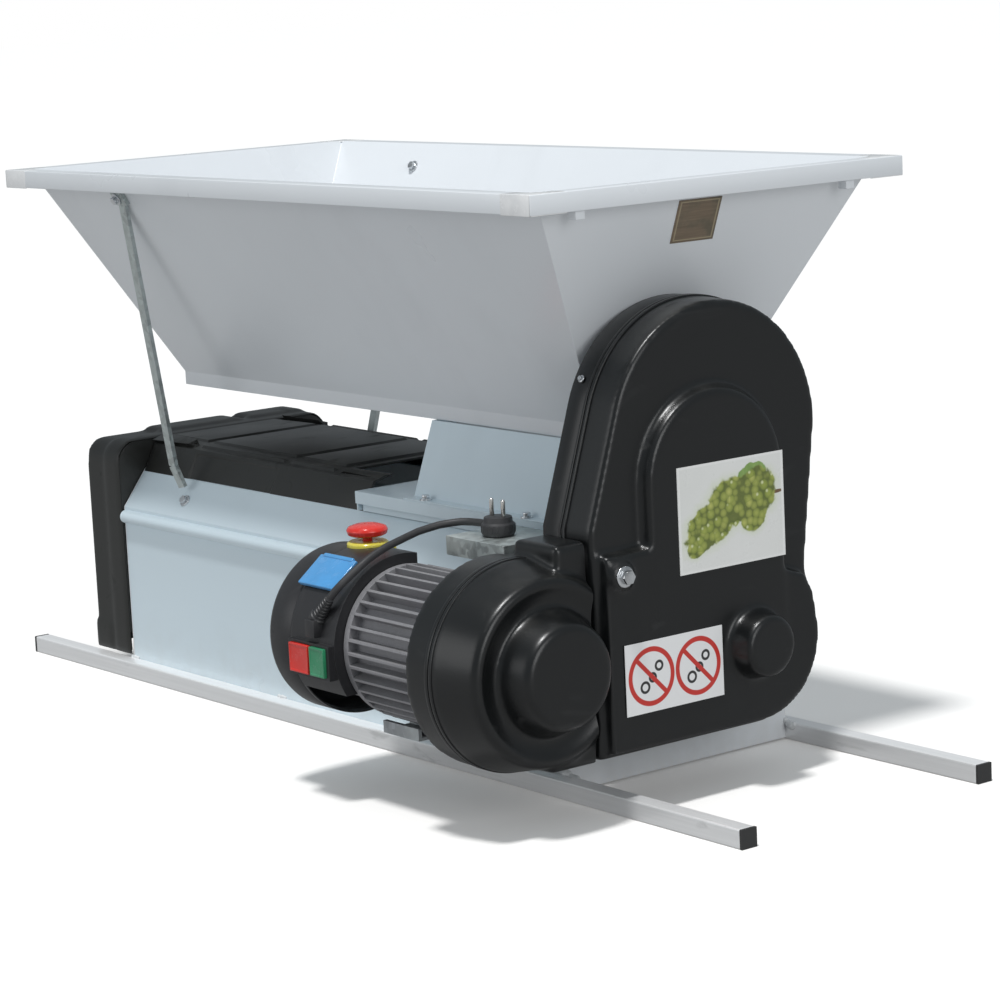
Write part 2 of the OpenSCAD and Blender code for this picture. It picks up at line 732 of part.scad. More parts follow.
lug_at = [-172, 246];
drum_boss_base_r = 61;
drum_boss_r = 51;
drum_boss_depth = 30;
drum_cut_y = cover_left - cover_rim - part_gap;
module drum_solid(g) {
    rod(cover_x0 - drum_lap, cover_split_x, motor_axis, drum_r - g);
    cone(cover_split_x, motor_face_x - g, motor_axis, drum_r - g, drum_front_r - g);
    cone(motor_face_x - g - 1, motor_face_x + drum_boss_depth - g, motor_axis, drum_boss_base_r - g,
        drum_boss_r - g);
    block([cover_x0, cover_left - 36 + g, beater_z + 60],
        [cover_face_x - g, cover_left + 1, cover_shoulder_z - 6 - g]);
    block([cover_x0, motor_axis[0] + g, cover_bottom + g],
        [motor_face_x - 6 - g, cover_left + 1, beater_z]);
}
module motor_cover() {
    color("black") difference() {
        drum_solid(0);
        translate([-1, 0, 0]) drum_solid(moulding);
        block([cover_x0 - drum_lap - 9, drum_cut_y, -9], [raise_x + 90, 90, 400]);
        rod(cover_x0 - drum_lap - 9, cover_x0 + 5, motor_axis, drum_r - moulding);
    }
}
module cover_fasteners() {
    color("silver") bolt_head([raise_x + 6, lug_at[0], lug_at[1]], [1, 0, 0], 8);
}
label_t = 0.6;
module grape_label() {
    color("ivory") block([raise_x, -96, 234], [raise_x + label_t, 46, 342]);
}
module safety_label() {
    color("white") block([raise_x, -172, 104], [raise_x + label_t, -44, 176]);
}

// ---------- belts ----------
module drive_belt() {
    color("dimgray") belt(plane2_x, motor_axis, motor_pulley_r, beater_axis, beater_pulley_r);
}
module roller_belt() {
    color("dimgray") belt(plane1_x, beater_axis, small_pulley_r, u1, roller_pulley_r);
}

// ---------- motor and switch ----------
motor_bore_r = motor_shaft_r + running_gap;
frame_bore_r = 60;
rear_bell_t = 14;
rotor_core_r = 38;
air_gap = 0.5;
core_x = [motor_x0 + 44, motor_x0 + 174];
module motor_body() {
    motor_end = motor_x0 + motor_length;
    color("gray") difference() {
        union() {
            rod(motor_x0, motor_end, motor_axis, motor_core_r);
            along_x(fins_x0, motor_end) translate(motor_axis)
                for (i = [0:fin_count - 1]) rotate(i * 360 / fin_count)
                    translate([motor_core_r - 2, -1.5]) square([motor_r - motor_core_r + 2, 3]);
            rod(fins_x0 - 8, fins_x0, motor_axis, motor_r - 1);
        }
        rod(motor_x0 + rear_bell_t, motor_end + 1, motor_axis, frame_bore_r);
        rod(motor_x0 - 1, motor_end, motor_axis, motor_bore_r);
    }
}
module motor_stator() {
    color("slategray") tube(core_x[0], core_x[1], motor_axis, frame_bore_r - 0.05, rotor_core_r + air_gap);
}
module rotor_core() {
    color("silver") tube(core_x[0], core_x[1], motor_axis, rotor_core_r, motor_shaft_r);
}
module motor_end_shield() {
    color("gray") difference() {
        union() {
            rod(motor_x1 - shield_t, motor_x1, motor_axis, motor_r - 2);
            rod(motor_x1 - 4, motor_x1, motor_axis, motor_r + 4);
        }
        rod(motor_x1 - shield_t - 1, motor_x1 + 1, motor_axis, motor_bore_r);
    }
}
slot_w = 5;
module fan_cowl() {
    color("black") difference() {
        rod(cowl_x0, motor_x0, motor_axis, cowl_r);
        rod(cowl_x0 + moulding, motor_x0 + 1, motor_axis, cowl_r - moulding);
        for (i = [0:7]) rotate_about(motor_axis, i * 45)
            block([cowl_x0 - 1, motor_axis[0] + 22, motor_axis[1] - slot_w / 2],
                [cowl_x0 + moulding + 1, motor_axis[0] + cowl_r - 18, motor_axis[1] + slot_w / 2]);
    }
}
module rotate_about(at, a) {
    translate([0, at[0], at[1]]) rotate([a, 0, 0]) translate([0, -at[0], -at[1]]) children();
}
cradle_x0 = fins_x0 - 6;
cradle_w = 60;
module motor_cradle() {
    z = motor_axis[1] - motor_r - 3;
    color("dimgray") {
        block([cradle_x0 + 12, motor_axis[0] - 45, z - 4], [cradle_x0 + 12 + cradle_w, -casing_half, z]);
        block([cradle_x0 + 12, motor_axis[0] - 45, z],
            [cradle_x0 + 12 + cradle_w, motor_axis[0] - 40, z + 9]);
        block([cradle_x0 + 12, motor_axis[0] - 12, z],
            [cradle_x0 + 12 + cradle_w, motor_axis[0] + 12, z + 2.9]);
        block([cradle_x0 + 12, -casing_half - 4, z - 30], [cradle_x0 + 12 + cradle_w, -casing_half, z]);
    }
}
tie_z = 246;
tie_h = 20;
tie_x0 = 792;
tie_l = 96;
module motor_tie_bracket() {
    color("lightgray") difference() {
        block([tie_x0, -212, tie_z], [tie_x0 + tie_l, -box_half, tie_z + tie_h]);
        block([tie_x0 - 1, -209, tie_z - 1], [tie_x0 + tie_l - 3, -box_half + 1, tie_z + tie_h - 3]);
    }
}
switch_bore_r = motor_core_r + 0.5;
switch_out_r = cowl_r + 2;
stem_r = 5;
box_front_y = motor_axis[0] - switch_out_r - 6;
start_stop_z = [motor_axis[1] - 28, motor_axis[1] + 8];
start_stop_x = motor_x0 + 6;
button_w = [33, 25];
button_gap = 0.4;
module switch_box() {
    color("black") difference() {
        union() {
            rod(motor_x0 + 0.5, fins_x0 - 9, motor_axis, switch_out_r);
            block([start_stop_x - 3, box_front_y, start_stop_z[0]],
                [start_stop_x + 68, motor_axis[0] - 60, start_stop_z[1]]);
        }
        rod(motor_x0 - 30, fins_x0, motor_axis, switch_bore_r);
        block([motor_x0 - 1, motor_axis[0] - 200, -9],
            [fins_x0 + 1, motor_axis[0] + 200, motor_axis[1] - 46]);
        block([motor_x0 - 1, motor_axis[0] + 20, -9], [fins_x0 + 1, motor_axis[0] + 200, 400]);
        rod(motor_x0 - 40, motor_x0 + 0.5, motor_axis, cowl_r + 0.5);
        for (i = [0, 1]) button_pocket(i, button_gap);
        translate([mushroom_at[0], mushroom_at[1], 0]) cylinder(h = 400, r = stem_r + running_gap);
    }
}
button_depth = 4.5;
function button_x(i) = start_stop_x + 2 + i * (button_w[0] + 3);
module button_pocket(i, g) {
    block([button_x(i) - g, box_front_y - 1, start_stop_z[0] + 3 - g],
        [button_x(i) + button_w[i] + g, box_front_y + button_depth + button_travel + 1,
            start_stop_z[1] - 3 + g]);
}
module push_button(i) {
    block([button_x(i), box_front_y - 3.5, start_stop_z[0] + 3],
        [button_x(i) + button_w[i], box_front_y + button_depth, start_stop_z[1] - 3]);
}
module stop_button() { color("red") push_button(0); }
module start_button() { color("green") push_button(1); }
flap_angle = 38;
module switch_flap() {
    color("dodgerblue") rotate_about(motor_axis, -flap_angle)
        block([motor_x0 - 12, motor_axis[0] - 22, motor_axis[1] + switch_out_r - 1],
            [motor_x0 + 62, motor_axis[0] + 22, motor_axis[1] + switch_out_r + 5]);
}
mushroom_at = [motor_x0 + stem_r + 1.5, motor_axis[0] + 8];
mushroom_r = 22;
base_z = motor_axis[1] + switch_out_r - 1;
module stop_switch_base() {
    color("gold") difference() {
        translate([mushroom_at[0], mushroom_at[1], base_z - 14]) cylinder(h = 19, r = mushroom_r + 4);
        translate([mushroom_at[0], mushroom_at[1], base_z - 40]) cylinder(h = 90, r = stem_r + running_gap);
        rod(motor_x0 - 60, fins_x0, motor_axis, switch_out_r + 0.01);
    }
}
module emergency_button() {
    z = base_z + 5 + mushroom_travel + 0.6;
    color("red") translate([mushroom_at[0], mushroom_at[1], 0]) {
        translate([0, 0, z]) rotate_extrude() polygon(concat([[0, 0], [mushroom_r - 4, 0]],
            [for (a = [-40:20:90]) [mushroom_r - 6 + 6 * cos(a), 5 + 6 * sin(a)]], [[0, 12.5]]));
        translate([0, 0, base_z - 8]) cylinder(h = z - base_z + 9, r = stem_r);
    }
}
gland_at = [744, -342, 188];
nose_tilt = 45;
nose_l = 7 * sqrt(2);
module cable_gland() {
    color("black") translate(gland_at) difference() {
        union() {
            cylinder(h = 9, r = 12);
            translate([0, 0, 8]) rotate([0, nose_tilt, 0]) cylinder(h = nose_l, r1 = 8, r2 = 6);
            translate([-11, 0, -12]) cube([22, 14, 20]);
        }
        translate([-90, motor_axis[0] - gland_at[1], motor_axis[1] - gland_at[2]])
            rotate([0, 90, 0]) cylinder(h = 200, r = switch_out_r + 0.01);
    }
}
cord_r = 4;
cord_sides = 10;
cord_points = [[751, -342, 203], [757, -342, 209], [763, -340, 217], [768, -336, 225],
    [771, -329, 232], [773, -320, 239], [774, -309, 246], [773, -297, 252], [772, -284, 257],
    [771, -271, 261], [770, -257, 264], [769, -243, 267], [769, -230, 270], [771, -218, 272],
    [774, -206, 274], [779, -196, 275], [786, -187, 276], [796, -181, 276], [808, -178, 276],
    [819, -178, 276]];
function path_dir(p, i) = unit(p[min(i + 1, len(p) - 1)] - p[max(i - 1, 0)]);
module sweep_tube(p, r, sides) {
    n = len(p);
    rings = [for (i = [0:n - 1])
        let (d = path_dir(p, i), s = unit(cross(d, [0, 0, 1] + 0.001 * [1, 1, 0])), t = cross(s, d))
        for (k = [0:sides - 1]) p[i] + r * (s * cos(k * 360 / sides) + t * sin(k * 360 / sides))];
    walls = [for (i = [0:n - 2], k = [0:sides - 1])
        [i * sides + k, i * sides + (k + 1) % sides, (i + 1) * sides + (k + 1) % sides,
            (i + 1) * sides + k]];
    polyhedron(rings, concat(walls, [[for (k = [sides - 1:-1:0]) k]],
        [[for (k = [0:sides - 1]) (n - 1) * sides + k]]), convexity = 6);
}
module power_cord() { color("dimgray") sweep_tube(cord_points, cord_r, cord_sides); }
plug_at = [837, -178, tie_z + tie_h];
plug_r = 18;
plug_h = 20;
module plug_body() {
    color("dimgray") translate(plug_at) {
        cylinder(h = plug_h, r = plug_r);
        translate([-plug_r, -7, 3]) cube([plug_r, 14, 14]);
    }
}
pin_r = 2.4;
pin_pitch = 19;
pin_h = 18;
module plug_pins() {
    color("silver") for (s = [-1, 1]) translate(plug_at + [s * pin_pitch / 2, 0,
        plug_h]) cylinder(h = pin_h, r = pin_r);
}

// ---------- moving pieces ----------
module beater_shaft() { color("silver") rod(rotor_x0, rotor_x1, beater_axis, beater_shaft_r); }
pin_count = 20;
pin_radius = 6;
pin_x0 = cage_x0 + 24;
pin_step = (cage_x1 - cage_x0 - 50) / (pin_count - 1);
module beater_pins() {
    color("orange") for (i = [0:pin_count - 1]) translate([pin_x0 + i * pin_step, beater_axis[0],
        beater_axis[1]])
        rotate([i * 60, 0, 0]) difference() {
            translate([0, 0, 3]) cylinder(h = beater_tip_r - 3, r = pin_radius);
            rotate([0, 90, 0]) translate([0, 0, -9]) cylinder(h = 18, r = beater_shaft_r);
        }
}
module beater_pulleys() {
    color("slategray") {
        pulley(plane1_x, beater_axis, small_pulley_r, beater_shaft_r);
        pulley(plane2_x, beater_axis, beater_pulley_r, beater_shaft_r, 14);
    }
}
module motor_shaft() {
    color("silver") rod(motor_x0 - 34, plane2_x + pulley_t + 2, motor_axis, motor_shaft_r);
}
module motor_pulley() { color("slategray") pulley(plane2_x, motor_axis, motor_pulley_r, motor_shaft_r); }
module cooling_fan() {
    x0 = motor_x0 - 32;
    color("black") difference() {
        union() {
            rod(x0, x0 + 20, motor_axis, 20);
            rod(x0 + 16, x0 + 19, motor_axis, 66);
            for (i = [0:7]) rotate_about(motor_axis, i * 45)
                block([x0, motor_axis[0] + 15, motor_axis[1] - 1.5],
                    [x0 + 18, motor_axis[0] + 66, motor_axis[1] + 1.5]);
        }
        rod(x0 - 1, x0 + 21, motor_axis, motor_shaft_r);
    }
}
roller_x0 = chute_x0 + 17;
lobes = 8;
lobe_r = 8.5;
module roller(at, x_end, phase) {
    core = roller_r - lobe_r;
    along_x(roller_x0, roller_x0 + roller_length) translate(at) {
        circle(core);
        for (i = [0:lobes - 1]) rotate(phase + i * 360 / lobes) translate([core, 0]) circle(lobe_r);
    }
    rod(chute_x0 - 2, roller_x0 + 1, at, roller_shaft_r);
    rod(roller_x0 + roller_length - 1, x_end, at, roller_shaft_r);
}
module drive_roller() { color("silver") roller(u1, plane1_x + pulley_t + 2, 0); }
module idle_roller() { color("silver") roller(u2, gear2_x + gear2_t + 1, 22.5); }
module roller_pulley() { color("slategray") pulley(plane1_x, u1, roller_pulley_r, roller_shaft_r, 26); }
module drive_roller_gear() {
    color("goldenrod") gear(gear1_x, gear1_t, u1, roller_gear_n, roller_half_gap, roller_shaft_r, 0);
}
pinion_pr = auger_distance * auger_pinion_n / (auger_pinion_n + auger_gear_n);
auger_pr = auger_distance - pinion_pr;
module idle_roller_gears() {
    color("goldenrod") {
        gear(gear1_x, gear1_t, u2, roller_gear_n, roller_half_gap, roller_shaft_r,
            180 + 180 / roller_gear_n);
        gear(gear2_x, gear2_t, u2, auger_pinion_n, pinion_pr, roller_shaft_r, auger_angle);
    }
}
module auger_gear() {
    color("goldenrod") gear(gear2_x, gear2_t, auger_axis, auger_gear_n, auger_pr, auger_shaft_r,
        auger_angle + 180 + 180 / auger_gear_n);
}
flight_x0 = throat_x0 + 16;
flight_x1 = hopper_floor_x1 - 6;
flight_arc = 16;
module feed_auger() {
    left_wall_x = throat_x0 - hopper_left_slope * (auger_z - crease_z);
    turns = (flight_x1 - flight_x0) / auger_pitch;
    color("silver") {
        rod(left_wall_x - 4, gear2_x + gear2_t + 1, auger_axis, auger_shaft_r);
        translate([flight_x0, auger_axis[0], auger_axis[1]]) rotate([90, 0, 90])
            linear_extrude(height = flight_x1 - flight_x0, twist = -360 * turns, slices = 120, segments = 7)
                polygon(concat([[auger_shaft_r - 1, -1], [auger_shaft_r - 1, 1]],
                    [for (a = [flight_arc / 2:-4:-flight_arc / 2]) auger_r * [cos(a), sin(a)]]));
    }
}

at_frame() rail_front();
at_frame() rail_rear();
at_frame() rail_end_caps();
at_frame() body_front_panel();
at_frame() body_rear_panel();
at_frame() stem_end_plate();
at_frame() drive_end_plate();
at_frame() destemming_cage();
at_frame() crusher_box();
at_frame() feed_chute();
at_frame() hopper();
at_frame() hopper_corner_caps();
at_frame() strut_front();
at_frame() strut_rear();
at_frame() frame_bolts();
at_frame() rating_plate();
at_frame() stem_cover();
at_frame() stem_outlet();
at_frame() transmission_plate();
at_frame() plate_spacers();
at_frame() flange_bearings();
at_frame() rotor_end_bearing();
at_frame() cover_back_shell();
at_frame() belt_cover();
at_frame() motor_cover();
at_frame() cover_fasteners();
at_frame() grape_label();
at_frame() safety_label();
at_frame() drive_belt();
at_frame() roller_belt();
at_frame() motor_body();
at_frame() motor_stator();
at_frame() fan_cowl();
at_frame() motor_end_shield();
at_frame() motor_cradle();
at_frame() motor_tie_bracket();
at_frame() switch_box();
at_frame() switch_flap();
at_frame() stop_switch_base();
at_frame() cable_gland();
at_frame() power_cord();
at_frame() plug_body();
at_frame() plug_pins();
at_frame() beater_shaft();
at_frame() beater_pins();
at_frame() beater_pulleys();
at_frame() motor_shaft();
at_frame() rotor_core();
at_frame() motor_pulley();
at_frame() cooling_fan();
at_frame() drive_roller();
at_frame() roller_pulley();
at_frame() drive_roller_gear();
at_frame() idle_roller();
at_frame() idle_roller_gears();
at_frame() feed_auger();
at_frame() auger_gear();
at_frame() stop_button();
at_frame() start_button();
at_frame() emergency_button();
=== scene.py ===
"""Finished covers, sheet metal, fittings and materials of a grape crusher destemmer.

Lengths are in millimetres on the machine's own axes: X runs from the hopper's stem
end to the drive end, Y to the rear, Z up from the floor. Finished pieces are moved
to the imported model's frame in metres.
"""

import json
import math

import bmesh
import bpy
from mathutils import Matrix, Vector


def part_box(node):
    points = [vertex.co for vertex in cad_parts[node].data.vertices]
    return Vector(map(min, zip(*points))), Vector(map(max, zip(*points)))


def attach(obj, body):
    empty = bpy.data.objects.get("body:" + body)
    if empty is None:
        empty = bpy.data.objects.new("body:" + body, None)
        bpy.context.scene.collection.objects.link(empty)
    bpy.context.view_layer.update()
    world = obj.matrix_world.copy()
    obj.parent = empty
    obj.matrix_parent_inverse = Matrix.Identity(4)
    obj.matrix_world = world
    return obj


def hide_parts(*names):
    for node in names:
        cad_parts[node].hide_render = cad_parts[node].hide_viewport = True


bl_info = {
    "name": "Grape Crusher Destemmer",
    "version": (1, 0, 0),
    "blender": (4, 5, 0),
    "location": "View3D > Sidebar > Crusher",
    "description": "Builds the finished surfaces of a grape crusher destemmer",
    "category": "Object",
}

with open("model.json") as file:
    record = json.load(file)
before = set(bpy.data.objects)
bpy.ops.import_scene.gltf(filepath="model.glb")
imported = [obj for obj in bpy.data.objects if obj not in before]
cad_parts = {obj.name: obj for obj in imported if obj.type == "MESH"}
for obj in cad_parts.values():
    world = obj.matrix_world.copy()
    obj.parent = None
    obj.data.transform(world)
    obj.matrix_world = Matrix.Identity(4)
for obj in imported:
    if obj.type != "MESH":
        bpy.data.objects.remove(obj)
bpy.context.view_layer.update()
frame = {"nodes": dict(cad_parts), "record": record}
NODES = frame["nodes"]
MM = 0.001
HOPPER_LOW, HOPPER_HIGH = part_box("hopper")
ORIGIN = Vector((HOPPER_LOW.x, (HOPPER_LOW.y + HOPPER_HIGH.y) / 2, 0))
TO_ROW = Matrix.Translation(ORIGIN) @ Matrix.Scale(MM, 4)


def span(node):
    """Lowest and highest corner of a CAD node, in millimetres on the machine's axes."""
    low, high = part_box(node)
    return (low - ORIGIN) / MM, (high - ORIGIN) / MM


# Stations shared by several pieces
RIM_LOW, RIM_HIGH = span("hopper")
BACK_LOW, BACK_HIGH = span("cover_back_shell")
DRUM_LOW = span("motor_cover")[0]
MOTOR_LOW, MOTOR_HIGH = span("motor_body")
MOTOR_AXIS = ((MOTOR_LOW.y + MOTOR_HIGH.y) / 2, (MOTOR_LOW.z + MOTOR_HIGH.z) / 2)
SHAFT_LOW, SHAFT_HIGH = span("beater_shaft")
BEATER_AXIS = ((SHAFT_LOW.y + SHAFT_HIGH.y) / 2, (SHAFT_LOW.z + SHAFT_HIGH.z) / 2)
DRUM_R = MOTOR_AXIS[0] - DRUM_LOW.y

# The belt cover's outline: the arch, the round low corner and the notch between them, in Y and Z
ARCH_R = 137
ARCH = (BACK_HIGH.y - ARCH_R, BACK_HIGH.z - ARCH_R)
LOW_R = 87
LOW_ARC = (12, BACK_LOW.z + LOW_R)
NOTCH = (88, 206)
LOW_SHOULDER = (94, 190)
# Height at which the arch meets the straight front edge
SHOULDER_Z = 290
# The raised arch on the cover's face, and the lug that its bolt goes through
INNER_R = 94
INNER_ARCH = (-42, 329)
LUG = (-172, 246)
# Along X: the joint of the two halves, the cover's face, and the face of its raised parts
SPLIT_X = BACK_HIGH.x
FACE_X = 1008
RAISED_X = 1022
# How deep a raised part starts below the face that it stands on
SUNK = 9


# ---------- materials ----------
def wired(operation, reflected=False):
    """A method that adds one Math node, with its values swapped when reflected."""
    def method(self, *other):
        values = (*other, self) if reflected else (self, *other)
        return self.finish.node("ShaderNodeMath", dict(enumerate(values)), operation=operation)
    return method


class Wire:
    """A socket of a node tree, with arithmetic that adds Math nodes."""

    def __init__(self, finish, socket):
        self.finish = finish
        self.socket = socket

    __add__ = wired("ADD")
    __radd__ = wired("ADD", reflected=True)
    __sub__ = wired("SUBTRACT")
    __rsub__ = wired("SUBTRACT", reflected=True)
    __mul__ = wired("MULTIPLY")
    __rmul__ = wired("MULTIPLY", reflected=True)
    __truediv__ = wired("DIVIDE")
    __pow__ = wired("POWER")
    at_least = wired("MAXIMUM")
    at_most = wired("MINIMUM")
    size = wired("ABSOLUTE")


class Finish:
    """One material: its node tree and the patterns that its colour, gloss and relief use."""

    def __init__(self, name, roughness=0.5, metallic=0.0, **sockets):
        self.material = bpy.data.materials.new(name)
        self.material.use_nodes = True
        self.tree = self.material.node_tree
        self.shader = self.tree.nodes["Principled BSDF"]
        self.shader.inputs["Roughness"].default_value = roughness
        self.shader.inputs["Metallic"].default_value = metallic
        for key, value in sockets.items():
            self.shader.inputs[key.replace("_", " ")].default_value = value
        self.place = self.node("ShaderNodeTexCoord", output="Object")
        self.height = None

    def node(self, kind, sockets=None, output=0, **settings):
        """Adds a node: its settings first, then the values or links of its sockets."""
        made = self.tree.nodes.new(kind)
        for key, value in settings.items():
            setattr(made, key, value)
        for key, value in (sockets or {}).items():
            if isinstance(value, Wire):
                self.tree.links.new(value.socket, made.inputs[key])
            else:
                made.inputs[key].default_value = value
        return Wire(self, made.outputs[output])

    def moved(self, location=(0, 0, 0), scale=(1, 1, 1)):
        """Object coordinates moved and stretched."""
        sockets = {"Vector": self.place, "Location": location, "Scale": scale}
        return self.node("ShaderNodeMapping", sockets)

    def noise(self, scale, detail=2.0, stretch=(1, 1, 1), distortion=0.0):
        sockets = {"Vector": self.moved(scale=stretch), "Scale": scale, "Detail": detail,
                   "Distortion": distortion}
        return self.node("ShaderNodeTexNoise", sockets)

    def cells(self, scale, output="Distance", stretch=(1, 1, 1), randomness=1.0, **settings):
        sockets = {"Vector": self.moved(scale=stretch), "Scale": scale, "Randomness": randomness}
        return self.node("ShaderNodeTexVoronoi", sockets, output=output, **settings)

    def step(self, value, low, high):
        """0 below low, 1 above high, with a soft change between."""
        sockets = {"Value": value, "From Min": low, "From Max": high}
        return self.node("ShaderNodeMapRange", sockets, interpolation_type="SMOOTHSTEP")

    def mix(self, first, second, factor):
        """A colour between two colours."""
        pair = [(*c, 1) if isinstance(c, tuple) and len(c) == 3 else c for c in (first, second)]
        sockets = {0: factor, 6: pair[0], 7: pair[1]}
        return self.node("ShaderNodeMix", sockets, output=2, data_type="RGBA")

    def axes(self, vector=None):
        split = self.tree.nodes.new("ShaderNodeSeparateXYZ")
        self.tree.links.new((vector or self.place).socket, split.inputs[0])
        return [Wire(self, output) for output in split.outputs]

    def upward(self):
        """1 on faces that look up, 0 on the others."""
        normal = self.node("ShaderNodeNewGeometry", output="Normal")
        return self.step(self.axes(normal)[2], 0.55, 0.95)

    def edges(self, radius):
        """1 along the outer and inner edges, within a radius in millimetres."""
        round_normal = self.node("ShaderNodeBevel", {"Radius": radius * MM}, samples=4)
        flat_normal = self.node("ShaderNodeNewGeometry", output="Normal")
        sockets = {0: round_normal, 1: flat_normal}
        likeness = self.node("ShaderNodeVectorMath", sockets, output="Value", operation="DOT_PRODUCT")
        return self.step(1 - likeness, 0.02, 0.25)

    def colour(self, value):
        self._feed("Base Color", value)
        return self

    def rough(self, value):
        self._feed("Roughness", value)
        return self

    def _feed(self, socket, value):
        if isinstance(value, Wire):
            self.tree.links.new(value.socket, self.shader.inputs[socket])
        else:
            self.shader.inputs[socket].default_value = (*value, 1) if len(value) == 3 else value

    def relief(self, height, depth, strength=1.0):
        """A bump of the given depth in millimetres, on top of any earlier one."""
        sockets = {"Height": height, "Distance": depth * MM, "Strength": strength}
        if self.height:
            sockets["Normal"] = self.height
        self.height = self.node("ShaderNodeBump", sockets)
        self.tree.links.new(self.height.socket, self.shader.inputs["Normal"])
        return self


def shade(colour, factor):
    return tuple(min(1.0, c * factor) for c in colour)


def powder_coat(name, colour):
    """Stoved powder paint: orange peel, faint clouding, dust low down and rubbed edges."""
    f = Finish(name, 0.3, Coat_Weight=0.25, Coat_Roughness=0.15)
    cloud = f.noise(2.6, 3.0)
    streaks = f.noise(9, 4.0, stretch=(1, 1, 0.12))
    low_dust = 1 - f.step(f.axes()[2] + f.noise(14, 3.0) * 0.05, 0.03, 0.12)
    speck = f.step(f.cells(420, feature="F1"), 0.06, 0.03)
    base = f.mix(shade(colour, 0.94), shade(colour, 1.04), cloud)
    base = f.mix(base, shade(colour, 0.86), f.step(streaks, 0.55, 0.8) * 0.35)
    base = f.mix(base, (0.42, 0.4, 0.36), low_dust * f.noise(60, 4.0) * 0.3)
    base = f.mix(base, shade(colour, 0.6), speck * 0.25)
    base = f.mix(base, (0.45, 0.47, 0.48), f.edges(1.2) * f.step(f.noise(70, 4.0), 0.5, 0.66) * 0.5)
    f.colour(base).rough(0.2 + f.noise(7, 4.0) * 0.22)
    f.relief(f.noise(700, 1.0), 0.05, 0.5)
    return f.relief(f.noise(5, 2.0), 1.1, 0.35)


def galvanised(name, colour):
    """Zinc on steel bar: spangle, a grey bloom and bright rubbed edges."""
    f = Finish(name, 0.42, 0.75)
    spangle = f.cells(160, output="Color")
    flake = f.axes(spangle)[0]
    bloom = f.step(f.noise(22, 4.0), 0.42, 0.68)
    base = f.mix(shade(colour, 0.82), shade(colour, 1.15), flake)
    base = f.mix(base, (0.62, 0.66, 0.65), bloom * 0.5)
    f.colour(f.mix(base, (0.8, 0.82, 0.82), f.edges(0.8) * 0.6)).rough(0.3 + flake * 0.16 + bloom * 0.18)
    return f.relief(f.noise(260, 3.0), 0.06, 0.5)


def rail_paint(name, colour):
    """Silver-grey paint on drawn tube: draw marks along X, scuffs and chipped corners."""
    f = Finish(name, 0.36, 0.35)
    draw = f.noise(320, 3.0, stretch=(0.02, 1, 1))
    scuff = f.step(f.noise(48, 5.0, stretch=(0.25, 1, 1), distortion=0.6), 0.6, 0.72)
    base = f.mix(shade(colour, 0.9), shade(colour, 1.05), draw)
    base = f.mix(base, (0.38, 0.38, 0.37), scuff * 0.4)
    chips = f.edges(1.0) * f.step(f.noise(120, 3.0), 0.56, 0.62)
    f.colour(f.mix(base, (0.3, 0.28, 0.26), chips * 0.8)).rough(0.28 + draw * 0.12 + scuff * 0.25)
    f.relief(draw, 0.03, 0.4)
    return f.relief(f.noise(900, 1.0), 0.03, 0.4)


def moulded_plastic(name, colour, gloss=0.36, dust=0.5, grain=900):
    """Moulded plastic: fine grain, slow waves, dust on top faces, scuffs and a painted highlight along the
    edges.
    """
    f = Finish(name, gloss, Specular_IOR_Level=0.5)
    flow = f.noise(4, 3.0, distortion=0.8)
    scuff = f.step(f.noise(36, 6.0, stretch=(1, 0.3, 1), distortion=1.0), 0.62, 0.74)
    # A paler colour, used for the scuffs and for the painted highlight along the edges
    pale = tuple(0.6 * c + 0.045 for c in colour)
    base = f.mix(shade(colour, 0.8), shade(colour, 1.25), flow)
    base = f.mix(base, pale, scuff * 0.16)
    base = f.mix(base, (0.32, 0.31, 0.28), f.upward() * f.step(f.noise(18, 5.0), 0.4, 0.75) * 0.14 * dust)
    # Painted highlight: the edges are lightened in patches to stand in for light catching the rounded edges
    base = f.mix(base, pale, f.edges(1.6) * (0.15 + f.noise(40, 3.0) * 0.4))
    f.colour(base).rough(gloss - 0.08 + flow * 0.1 + scuff * 0.2)
    f.relief(f.noise(grain, 2.0), 0.06, 0.55)
    return f.relief(f.noise(11, 2.0), 0.9, 0.35)


def gloss_plastic(name, colour):
    """Smooth coloured plastic with finger marks and a faint moulding swirl."""
    f = Finish(name, 0.25, Coat_Weight=0.3, Coat_Roughness=0.1)
    swirl = f.noise(30, 3.0, distortion=1.5)
    marks = f.step(f.noise(75, 4.0), 0.5, 0.7)
    base = f.mix(shade(colour, 0.85), shade(colour, 1.15), swirl)
    pale = tuple(0.6 * c + 0.25 for c in colour)
    base = f.mix(base, pale, f.edges(0.8) * 0.35)
    f.colour(f.mix(base, pale, marks * 0.12)).rough(0.18 + marks * 0.22)
    return f.relief(f.noise(600, 2.0), 0.03, 0.4)


def brushed(name, colour, roughness=0.3, along=0, stain=0.25):
    """Machined or brushed metal with lines along one axis and a light stain."""
    f = Finish(name, roughness, 1.0)
    stretch = [1, 1, 1]
    stretch[along] = 0.03
    lines = f.noise(520, 4.0, stretch=tuple(stretch))
    cloud = f.step(f.noise(16, 4.0), 0.4, 0.75)
    base = f.mix(shade(colour, 0.82), shade(colour, 1.12), lines)
    base = f.mix(base, shade(colour, 0.55), cloud * stain)
    f.colour(f.mix(base, shade(colour, 1.3), f.edges(0.6) * 0.5))
    f.rough(roughness - 0.06 + lines * 0.14 + cloud * 0.15)
    return f.relief(lines, 0.03, 0.5)


